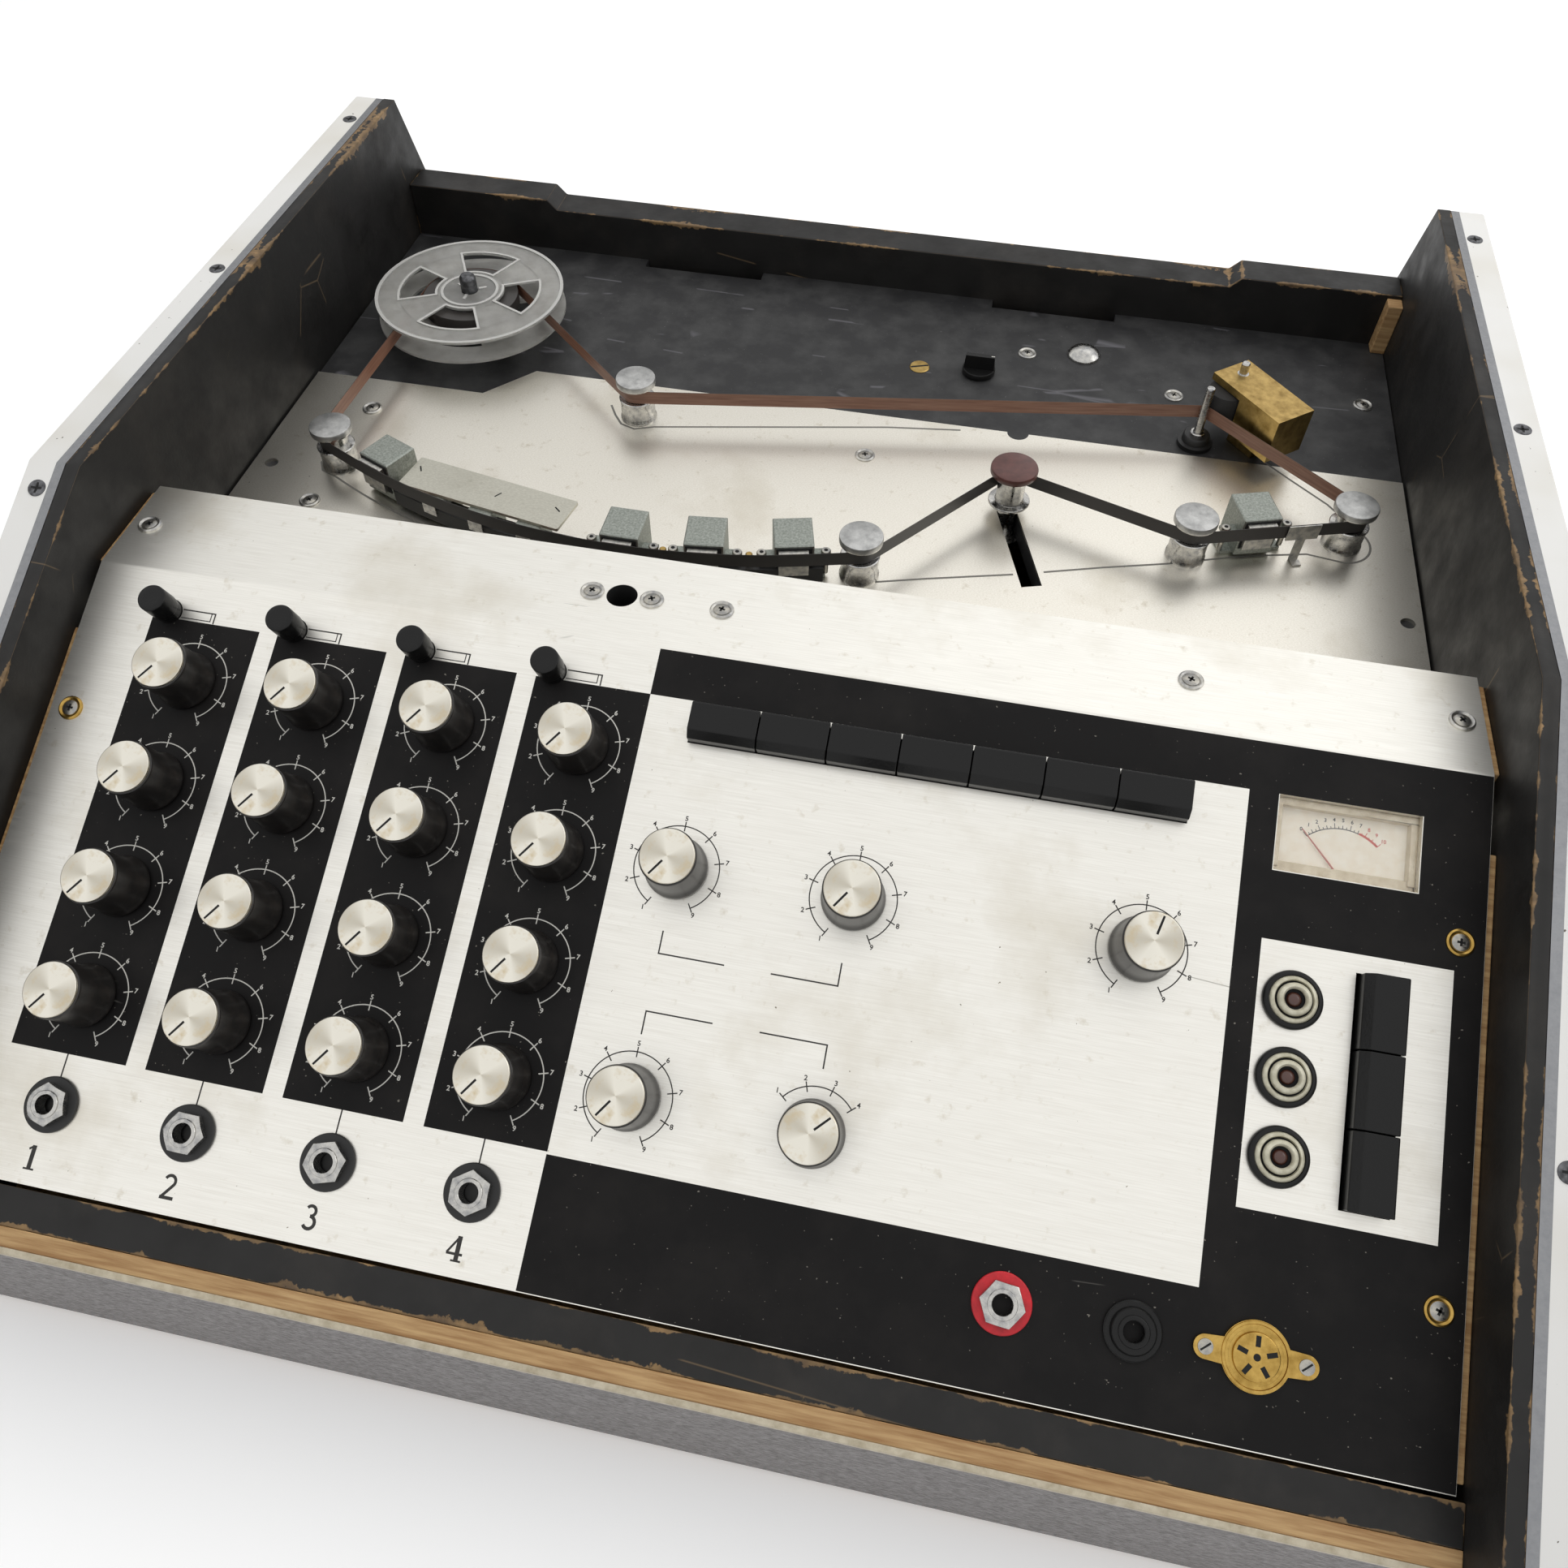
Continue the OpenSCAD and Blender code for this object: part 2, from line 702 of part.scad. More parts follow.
// Jack: body and bush under the panel, washer and nut on it
module jack(washer_color) {
    deep = 20;
    color("#b8b8b8") difference() {
        union() {
            block([15, 20], -panel_t - deep, -panel_t);
            rod(bush_d / 2, -panel_t - eps, 4.6);
            hexagon(jack_nut, 1.2, 4);
        }
        rod(jack_bore / 2, -panel_t - deep + 3, 6);
    }
    color(washer_color) difference() {
        rod(jack_washer / 2, 0, 1.2);
        rod(bush_d / 2, -1, 2);
    }
}

module plain_jack() {
    color("#202020") difference() {
        union() {
            block([15, 20], -panel_t - 20, -panel_t);
            rod(bush_d / 2, -panel_t - eps, 3.6);
            rod(9, 0, 1.6);
            rod(7, 1.6 - eps, 3);
        }
        rod(jack_bore / 2, -panel_t - 17, 6);
    }
}

module round_socket() {
    r = socket_d / 2;
    color("#9a8450") difference() {
        union() {
            rod(r - 2.3, -18, 0.5);
            difference() {
                linear_extrude(1.6) {
                    circle(r);
                    for (s = [-1, 1]) translate([s * socket_screw, 0]) circle(3.6);
                    square([2 * socket_screw, 7.2], center = true);
                }
                rod(r - 3, 1, 2);
            }
            rod(r - 3.5, 0, 2.4);
        }
        for (k = [0 : 4]) rotate([0, 0, k * 72]) translate([4.4, -0.7, -12]) cube([2.4, 1.4, 20]);
    }
}

module sockets() {
    for (c = channels) on_panel(column_u(c), -jack_v) jack("#161616");
    on_panel(socket_x[0], -jack_v) jack("#c8202a");
    on_panel(socket_x[1], -jack_v) plain_jack();
    on_panel(socket_x[2], -jack_v) round_socket();
}

// ---- Screws ----

// Countersunk screw in a cup washer
module cup_screw(r = cup_r, deep = screw_deep) {
    rotate_extrude() polygon([
        [0, -deep], [screw_r * 0.8, -deep], [screw_r, -deep + 1], [screw_r, 0], [r, 0], [r - 0.8, 0.9],
        [r - 1.4, 1], [r * 0.6, 0.7], [0, 0.9]
    ]);
}

module screws() {
    deep = panel_t + batten / 2;
    color("#a9a7a2") {
        for (s = [-1, 1]) {
            for (v = edge_screw_v) at_panel(s * (panel_half - edge_screw_in), -v) cup_screw();
            at_strip(s * (panel_half - edge_screw_in), strip_screw_y) cup_screw();
            at_strip(-strip_hole_x + s * strip_pair / 2, strip_screw_y) cup_screw();
            for (y = cheek_screw_y)
                translate([s * (half_w + side_t + cheek_t / 2), y, rim_at(y)])
                    rotate([y < kink_y ? slope : 0, 0, 0]) rod(3.4, 0, 0.6);
        }
        for (x = strip_screw_x) at_strip(x, strip_screw_y) cup_screw();
        for (p = plate_screws) at_deck(spread(p)) cup_screw();
        for (p = board_screws) at_deck(spread(p), -plate_t) cup_screw(5);
        at_deck(spread(dome_at), -plate_t) rotate_extrude()
            polygon([[0, 0], [8.3, 0], [8.3, 1], [7, 2.6], [4.5, 3.7], [2, 4.2], [0, 4.3]]);
    }
    color("#c09a4c") at_deck(spread(adjuster_at), -plate_t) difference() {
        rod(5, -5, 0.6);
        translate([-6, -0.6, -0.6]) cube([12, 1.2, 2]);
    }
}

// ---- Tape deck ----

module slot_shape(extra) {
    rotate([0, 0, slot_dir]) translate([-slot_w / 2 - 0.6, 0, 0])
        translate([0, -slot_w / 2 - extra, -board_t - plate_t - 2])
            cube([slider_travel + slot_w + 1.2, slot_w + 2 * extra, board_t + plate_t + 4]);
}

module tongue_slot() {
    at_deck(block_middle(), -plate_t) rotate([0, 0, block_dir])
        translate([-tongue[0] / 2 - free_fit, -tongue[1] / 2 - free_fit, -board_t - 1])
            cube([tongue[0] + 2 * free_fit, tongue[1] + pinch_travel + 2 * free_fit, board_t + 2]);
}

module deck_board() {
    w = 2 * (half_w - plate_gap / 2);
    color("#232222") difference() {
        translate([-w / 2, fold_y + 3, board_z - board_t]) cube([w, well_depth - 3, board_t]);
        for (n = rear_notch)
            at_deck([n[0], well_depth - rear_notch_d], -plate_t - board_t - 1)
                cube([n[1] - n[0], rear_notch_d + 1, board_t + 2]);
        at_deck(shaft, -plate_t) rod(6.5, -board_t - 1, 1);
        at_deck(spool, -plate_t) rod(5, -board_t - 1, 1);
        at_deck(release, -plate_t) rod(3 + run_fit, -board_t - 1, 1);
        at_deck(spread(adjuster_at), -plate_t) rod(5, -5, 1);
        at_deck(slider) slot_shape(0);
        tongue_slot();
        for (p = posts) at_deck(p, -plate_t) rod(2, -5, 1);
        for (p = plate_screws) at_deck(spread(p)) rod(screw_r, -screw_deep, 1);
        for (p = board_screws) at_deck(spread(p), -plate_t) rod(screw_r, -screw_deep, 1);
    }
}

module deck_plate() {
    w = half_w - plate_gap;
    rear = plate_y * deck_along;
    color("#cfcdc6") difference() {
        translate([0, fold_y, deck_z - plate_t]) linear_extrude(plate_t) difference() {
            polygon([
                [-w, 6], [w, 6], [w, rear], [corner_x * deck_across, rear],
                [corner_end_x * deck_across, rear - plate_setback], [-w, rear - plate_setback]
            ]);
            translate([slider[0], rear]) circle(5);
            for (p = plate_holes) translate(spread(p)) circle(3);
            for (p = plate_screws) translate(spread(p)) circle(screw_r);
            for (p = posts) translate(p) circle(2);
        }
        at_deck(slider) slot_shape(0);
    }
}

// Guide post: a flange at its foot, the spindle that the tape passes, and the cap
module guide_post() {
    high = tape_h + tape_w / 2 + 0.4;
    rotate_extrude() polygon([
        [0, -5], [2, -5], [2, 0], [flange_r, 0], [flange_r, 2.4], [flange_r - 1, 3.2], [post_r, 3.4],
        [post_r, high], [post_cap_d / 2 - 0.4, high + 0.2], [post_cap_d / 2, high + 0.6],
        [post_cap_d / 2, post_h - 0.6], [post_cap_d / 2 - 0.6, post_h], [0, post_h]
    ]);
}

module reel_spindle() {
    low = reel_low() - free_fit;
    top = reel_low() + reel_gap + 2 * flange_t + spindle_rise;
    rotate_extrude() polygon([
        [0, -plate_t - 8], [5, -plate_t - 8], [5, -plate_t], [9, -plate_t], [9, low],
        [4, low], [4, top - 1.2], [3, top], [0, top]
    ]);
}

module tape_guides() {
    color("#b4b3b0") {
        for (p = posts) at_deck(p) guide_post();
        at_deck(spool) reel_spindle();
    }
}

function reel_low() = tape_h - reel_gap / 2 - flange_t;

// One flange: four curved windows and a small notch in the rim
module reel_flange(h) {
    inner = pack_r - 6.3;
    outer = reel_d / 2 - 12;
    difference() {
        rod(reel_d / 2, h, h + flange_t);
        for (k = [0 : 3]) rotate([0, 0, k * 90 - 25]) rotate_extrude(angle = 52)
            translate([inner, h - 1]) square([outer - inner, flange_t + 2]);
        rotate([0, 0, 280]) translate([reel_d / 2, 0, h - 1]) cylinder(r = 3, h = flange_t + 2);
        rod(4 + run_fit, h - 1, h + flange_t + 1);
    }
}

module tape_reel() {
    low = reel_low();
    hub_r = 13;
    at_deck(spool) {
        color("#c9c9c7") {
            reel_flange(low);
            difference() {
                rod(hub_r, low + flange_t - eps, low + flange_t + reel_gap + eps);
                rod(4 + run_fit, low, low + reel_gap + 3);
            }
            reel_flange(low + flange_t + reel_gap);
        }
        color("#5a3f36") difference() {
            rod(pack_r, tape_h - tape_w / 2, tape_h + tape_w / 2);
            rod(hub_r, 0, 30);
        }
    }
}

// ---- Tape path ----

// Round things that the tape passes, in its direction of travel: middle, radius, and 1 for a
// turn to the left or -1 for a turn to the right
loose = free_fit + tape_t / 2;
snug = head_gap + tape_t / 2;
wheels = [
    [spool, pack_r + loose, 1],
    [posts[0], post_r + snug, 1],
    [arc_at, arc_r, 1],
    [posts[2], post_r + snug, 1],
    [slider, post_r + loose, -1],
    [posts[3], post_r + snug, 1],
    [posts[4], post_r + snug, 1],
    [shaft, capstan_d / 2 + loose, 1],
    [posts[1], post_r + snug, -1]
];
wheel_count = len(wheels);
function next(i) = (i + 1) % wheel_count;
function heading(a, b) =
    let (gap = b[0] - a[0], q = a[1] * a[2] - b[1] * b[2])
    atan2(gap[1], gap[0]) + asin(q / norm(gap));
function turn(a, b) = b - a - 360 * floor((b - a) / 360);

// Headings along one wheel, from the tape's arrival to its leaving
function headings(i) =
    let (
        w = wheels[i],
        from = heading(wheels[(i + wheel_count - 1) % wheel_count], w),
        to = heading(w, wheels[next(i)]),
        sweep = w[2] > 0 ? turn(from, to) : -turn(to, from),
        steps = max(2, ceil(abs(sweep) * (w[1] > 100 ? 0.8 : 0.12)))
    )
    [for (k = [0 : steps]) from + sweep * k / steps];

// One edge of the tape all the way round, `side` to the right of its middle
function tape_edge(side) = [
    for (i = [0 : wheel_count - 1])
        for (a = headings(i)) wheels[i][0] + (wheels[i][1] * wheels[i][2] + side) * [sin(a), -cos(a)]
];

module tape_loop() {
    color("#6a4a3e") at_deck([0, 0], tape_h - tape_w / 2) linear_extrude(tape_w) difference() {
        polygon(tape_edge(tape_t / 2));
        polygon(tape_edge(-tape_t / 2));
    }
}

// ---- Heads ----

module box_head(size, foot) {
    back = head_gap + tape_t / 2;
    low = tape_h - tape_w / 2 - 2;
    difference() {
        union() {
            translate([-size[0] / 2, back, 0]) cube([size[0], size[1], size[2]]);
            translate([-size[0] / 2 - foot, back + 5, 0]) cube([size[0] + 2 * foot, size[1] / 2, 2]);
        }
        translate([-size[0] / 2 - 1, back - 1, low]) rotate([90, 0, 90])
            linear_extrude(size[0] + 2) polygon([[-1, 0], [1, 0], [-1, -low * 0.8]]);
    }
}

// Straight plate over the small heads, from one end of its front edge to the other
module head_cover() {
    front = [for (p = cover_ends) spread(p)];
    way = (front[1] - front[0]) / norm(front[1] - front[0]);
    back = cover_w * [-way[1], way[0]];
    at_deck([0, 0], cover_top - cover_t) linear_extrude(cover_t)
        polygon([front[0], front[1], front[1] + back, front[0] + back]);
}

module tape_heads() {
    color("#a5a8a4") {
        at_arc(first_head_x * deck_across) box_head(first_head, 3);
        for (x = box_head_x) at_arc(x * deck_across) box_head(box_head, 7);
        for (x = small_head_x) at_arc(x * deck_across) box_head(small_head, 4);
        // Head between the two right guides
        at_deck((posts[3] + posts[4]) / 2) rotate([0, 0, heading(wheels[5], wheels[6])])
            translate([-6.7, -post_r - snug, 0]) box_head(box_head, 5);
    }
    color("#d6d4cc") head_cover();
}

// ---- Moving pieces of the deck ----

module slider_post() {
    high = tape_h + tape_w / 2 + 0.6;
    cap_r = slider_cap_d / 2;
    under = -plate_t - board_t - free_fit;
    stem_r = slot_w / 2 - free_fit;
    at_deck(slider) {
        color("#5f3a36") rotate_extrude() polygon([
            [0, high], [post_r, high], [cap_r - 1, slider_h - 3.4], [cap_r, slider_h - 2.8],
            [cap_r, slider_h - 0.8], [cap_r - 0.8, slider_h], [0, slider_h]
        ]);
        color("#c4c4c2") rotate_extrude() polygon([
            [0, under - 2.5], [9, under - 2.5], [9, under], [stem_r, under], [stem_r, 3.6], [9.1, 4], [9.1, 5.2],
            [post_r, 5.6], [post_r, high], [0, high]
        ]);
    }
}

module capstan() {
    top = capstan_h;
    wheel = motor_top() - motor_l - wheel_gap;
    color("#c8c8c8") at_deck(shaft) rotate_extrude() polygon([
        [0, wheel - wheel_t], [wheel_r, wheel - wheel_t], [wheel_r, wheel], [capstan_d / 2, wheel],
        [capstan_d / 2, top - 0.8], [capstan_d / 2 - 0.7, top], [0, top]
    ]);
}

function motor_top() = -plate_t - board_t;

// Body of the motor, hung under the deck board, with its bearing tube in the board's hole
module drive_motor() {
    color("#7d8084") at_deck(shaft) difference() {
        union() {
            rod(motor_r, motor_top() - motor_l, motor_top());
            rod(6, motor_top() - eps, -plate_t);
        }
        rod(capstan_d / 2 + run_fit, motor_top() - motor_l - 1, 1);
    }
}

// Middle of the pinch block: its roller faces the capstan across the tape
function block_middle() = shaft + rotate2([roller_along, roller_reach() + roller_out], block_dir);
function roller_reach() = capstan_d / 2 + nip + roller_d / 2;
function rotate2(p, a) = [p[0] * cos(a) - p[1] * sin(a), p[0] * sin(a) + p[1] * cos(a)];

module pinch_block() {
    low = block_low;
    color("#b08d3e") at_deck(block_middle()) rotate([0, 0, block_dir]) {
        difference() {
            block([block_l, block_w], low, block_h);
            translate([-block_l / 2 - 1, -block_w / 2 - 1, low + arm_t])
                cube([block_slot + 1, block_w + 2, block_h - low - 2 * arm_t]);
            translate([-14, 5, block_h - 1.2]) cylinder(r = 2.6, h = 2);
        }
        translate([-roller_along, -roller_out, 0]) rod(1.5, low + arm_t - eps, block_h - arm_t + eps);
        block(tongue, 1 - plate_t - board_t, low + eps);
    }
}

module pinch_roller() {
    low = block_low + arm_t + roller_gap;
    high = block_h - arm_t - roller_gap;
    middle = shaft + rotate2([0, roller_reach()], block_dir);
    color("#1c1c1c") at_deck(middle) difference() {
        rotate_extrude() polygon([
            [0, low], [roller_d / 2 - 2.5, low], [roller_d / 2, low + 2], [roller_d / 2, high - 2],
            [roller_d / 2 - 2.5, high], [0, high]
        ]);
        rod(1.5 + run_fit, low - 1, high + 1);
    }
}

module release_knob() {
    color("#111111") at_deck(release, -plate_t) {
        rod(8, free_fit, 3);
        translate([-7.5, -2.2, 3 - eps]) cube([15, 4.4, 6.5]);
        rod(3, -board_t - 4, free_fit + eps);
    }
}

// ---- Electronics in the base ----

module electronics() {
    y0 = front_y + fascia_t + front_t + board_in;
    y1 = back_y - supply_in - supply[1];
    color("#7b6a3a") translate([-board_size[0] / 2, y0, base_z + board_lift]) {
        cube(board_size);
        for (x = [10, board_size[0] - 10]) for (y = [10, board_size[1] - 10])
            translate([x, y, 0]) rod(3, -board_lift, eps);
        for (i = [1 : 6])
            translate([i * board_size[0] / 7, board_size[1] / 3, board_size[2] - eps]) cylinder(r = 6, h = 20);
        for (i = [1 : 4])
            translate([i * board_size[0] / 5 - 12, board_size[1] * 0.7, board_size[2] - eps]) cube([24, 14, 9]);
    }
    color("#6a6a6e") translate([-inner_w / 4 - supply[0] / 2, y1, base_z]) {
        cube(supply);
        translate([8, -10, 10]) cube([supply[0] - 16, supply[1] + 20, supply[2] - 20]);
    }
}

base_board();
inner_boards();
side_cheeks();
front_fascia();
rubber_feet();
control_panel();
pots_and_switches();
vu_meter();
meter_needle();
lamps();
sockets();
screws();
for (c = channels) {
    for (r = [0 : 3])
        knob_at(column_u(c), row_at(r), -135);
    mute_button(c);
}
for (d = dials)
    knob_at(d[1], d[2], d[3]);
for (i = [1 : key_count])
    effect_key(i);
side_key(1);  // mains_key
side_key(2);  // motor_key
side_key(3);  // erase_key
deck_board();
deck_plate();
tape_guides();
tape_heads();
tape_loop();
tape_reel();
slider_post();
capstan();
pinch_block();
pinch_roller();
release_knob();
drive_motor();
electronics();
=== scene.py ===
"""Dresses the tape echo unit: finishes, printing, worn edges and the small parts on its panel and deck.

Everything is placed in millimetres in the part's own frame and turned into metres when a piece is made.
"""

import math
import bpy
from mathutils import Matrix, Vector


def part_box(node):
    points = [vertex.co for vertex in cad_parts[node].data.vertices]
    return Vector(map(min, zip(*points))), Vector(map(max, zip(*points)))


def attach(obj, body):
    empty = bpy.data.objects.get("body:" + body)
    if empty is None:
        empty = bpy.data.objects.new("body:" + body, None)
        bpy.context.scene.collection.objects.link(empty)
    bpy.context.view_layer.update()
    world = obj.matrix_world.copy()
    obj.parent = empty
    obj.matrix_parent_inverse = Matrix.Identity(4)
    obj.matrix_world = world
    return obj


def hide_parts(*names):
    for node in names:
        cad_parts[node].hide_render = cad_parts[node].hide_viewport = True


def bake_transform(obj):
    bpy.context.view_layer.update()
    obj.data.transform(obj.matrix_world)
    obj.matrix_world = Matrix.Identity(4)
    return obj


bl_info = {
    "name": "Tape echo unit",
    "version": (1, 0, 0),
    "blender": (4, 5, 0),
    "location": "3D View > Sidebar > Tape Echo",
    "description": "Finishes, printing and small parts of the tape echo unit",
    "category": "Object",
}

import bmesh
import bpy
from mathutils import Matrix, Vector

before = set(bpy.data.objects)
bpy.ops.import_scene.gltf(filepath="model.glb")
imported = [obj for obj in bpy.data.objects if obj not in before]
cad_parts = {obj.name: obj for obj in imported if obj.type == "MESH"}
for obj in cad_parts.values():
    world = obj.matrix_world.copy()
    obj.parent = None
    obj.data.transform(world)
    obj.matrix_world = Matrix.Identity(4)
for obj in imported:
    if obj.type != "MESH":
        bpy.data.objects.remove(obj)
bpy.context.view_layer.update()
MM = 0.001


# ---- Places ----

# On the panel U runs right and V up the slope from its fold. On the deck X and Y start below the fold
SLOPE = math.radians(23.3)
STRIP_D = 45.0
DEPTH_OF_DECK = 312.6


def corner(node, which, axis):
    """One coordinate of a CAD node's box, in millimetres."""
    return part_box(node)[which][axis] / MM


FOLD_Y = corner("control_panel", 1, 1) - STRIP_D
FOLD_Z = corner("control_panel", 1, 2)
DECK_Z = corner("deck_plate", 1, 2)
FRONT_Y = corner("side_cheeks", 0, 1)
REAR_Y = corner("side_cheeks", 1, 1)
RIM_Z = corner("side_cheeks", 1, 2)
FOOT_Z = corner("side_cheeks", 0, 2)
HALF_OUT = corner("side_cheeks", 1, 0)
BACK_Y = FOLD_Y + DEPTH_OF_DECK
# The rim of the side boards bends this far behind the panel's fold
KINK_Y = 15.5
PANEL = Matrix.Translation((0, FOLD_Y, FOLD_Z)) @ Matrix.Rotation(SLOPE, 4, "X")
STRIP = Matrix.Translation((0, FOLD_Y, FOLD_Z))
DECK = Matrix.Translation((0, FOLD_Y, DECK_Z))

# Channel knobs, and the dials right of them, each with the angle that its pointer rests at
COLUMNS = [-205.2, -155.2, -105.2, -55.2]
ROWS = [-41.4, -80.3, -119.2, -158.1]
ROW_NAMES = ["echo", "treble", "bass", "gain"]
# The lowest rest is just past the first mark of the scale
LOWEST = -145.0
DIALS_U = (-11.4, 50.2)
DIALS = [
    ("swell_knob", DIALS_U[0], -78.6, LOWEST),
    ("sustain_knob", DIALS_U[1], -78.6, LOWEST),
    ("master_knob", 146.5, -78.6, 15),
    ("reverb_volume_knob", DIALS_U[0], -156.5, LOWEST),
    ("reverb_dimension_knob", DIALS_U[1], -156.5, 45),
]
KEY_PITCH = 24.75
KEY_ROW = (69.7, -27.0)
# The side keys and the lamps start at this height
SIDE_TOP = -86.6
SIDE_KEYS_U = 222.5
LAMPS_U = 195.4
METER = (208.9, -31.4)
JACKS_V = -195.4
OUTPUT_U, PLAIN_U, ROUND_U = 117.2, 157.3, 194.0
# Screws and the bare hole along the level strip, and the screws at the panel's sides
STRIP_V = 22.5
BARE_HOLE_U = -54.9
EDGE_SCREWS_U = 246.2
# Guide posts from left to right. The second stands behind the heads
POSTS = [(-215.9, 113.8), (-93.8, 175.9), (25.4, 90.4), (159.7, 130.9), (225.7, 152.4)]
SLIDER = (82.6, 143.6)
CAPSTAN = (163.7, 211.6)
SPOOL = (-194.0, 230.7)
RELEASE = (59.2, 247.0)
BLOCK_TURN = -50.0
# The tape runs past the heads on this arc
ARC_AT = (-70.72, 355.13)
ARC_R = 287.1
# Height of the tape's middle above the deck plate, and its width
TAPE_H = 14.7
TAPE_W = 6.35
TAPE_LOW, TAPE_HIGH = TAPE_H - TAPE_W / 2, TAPE_H + TAPE_W / 2


def at(x=0.0, y=0.0, z=0.0, turn=0.0):
    """A place: x, y, z in millimetres and a turn about Z in degrees."""
    return Matrix.Translation((x, y, z)) @ Matrix.Rotation(math.radians(turn), 4, "Z")


def on(base, x, y, turn=0.0, z=0.0):
    """A place on the panel, the strip or the deck."""
    return base @ at(x, y, z, turn)


# ---- Sizes and colours that a user would change ----


def linear(hex_colour):
    """An sRGB hex colour as linear RGB with alpha 1."""
    values = [int(hex_colour[i : i + 2], 16) / 255 for i in (1, 3, 5)]
    return tuple(v / 12.92 if v <= 0.04045 else ((v + 0.055) / 1.055) ** 2.4 for v in values) + (1.0,)


def colour(name, what, hex_colour):
    """A colour that a user may change."""
    return bpy.props.FloatVectorProperty(
        name=name, description=what, subtype="COLOR", size=4, min=0, max=1, default=linear(hex_colour)
    )


def length(name, what, millimetres):
    """A length that a user may change, given in millimetres."""
    metres = millimetres * MM
    return bpy.props.FloatProperty(
        name=name, description=what, subtype="DISTANCE", unit="LENGTH", default=metres, min=0.0, max=1.0
    )


class EchoColours(bpy.types.PropertyGroup):
    cheek_white: colour("Cheek paint", "White gloss paint on the outer cheeks", "#E4E3E0")
    case_black: colour("Case paint", "Black paint on the inner boards", "#171615")
    bare_ply: colour("Bare plywood", "Plywood where the paint is worn away", "#9A7C55")
    ink_black: colour("Panel ink", "Black screen-printing ink on the panel", "#131212")
    sheet: colour("Aluminium sheet", "Brushed aluminium of the control panel", "#F4F2EB")
    plate: colour("Deck plate", "Satin aluminium of the deck plate", "#F2EEE5")
    deck_black: colour("Deck paint", "Black paint on the deck board", "#222223")
    cover_grey: colour("Front covering", "Leathercloth on the front board, at its grain's top", "#8D8988")
    knob_black: colour("Knob moulding", "Black moulding of the knobs", "#191716")
    cap: colour("Knob cap", "Spun aluminium cap of the knobs", "#E6E2D6")
    key_black: colour("Key moulding", "Black moulding of keys and buttons", "#141414")
    tape_brown: colour("Tape oxide", "Oxide side of the tape", "#76503F")
    tape_back: colour("Tape backing", "Dark back of the tape", "#34312F")
    brass: colour("Brass", "Pinch block and small brass fittings", "#BDA063")
    red: colour("Red washer", "Red washer of the output socket", "#D0202C")


class EchoSizes(bpy.types.PropertyGroup):
    mark_width: length("Mark width", "Width of the printed marks round the dials", 0.4)
    numeral: length("Numeral height", "Height of the numbers round the dials", 1.75)
    channel_numeral: length("Channel numeral height", "Height of the channel numbers", 8.0)
    wear_width: length("Edge wear", "How far the paint is worn back from the case's edges", 2.6)
    brush_pitch: length("Brushing", "Distance between the brushed lines that show", 0.38)


# ---- Meshes ----


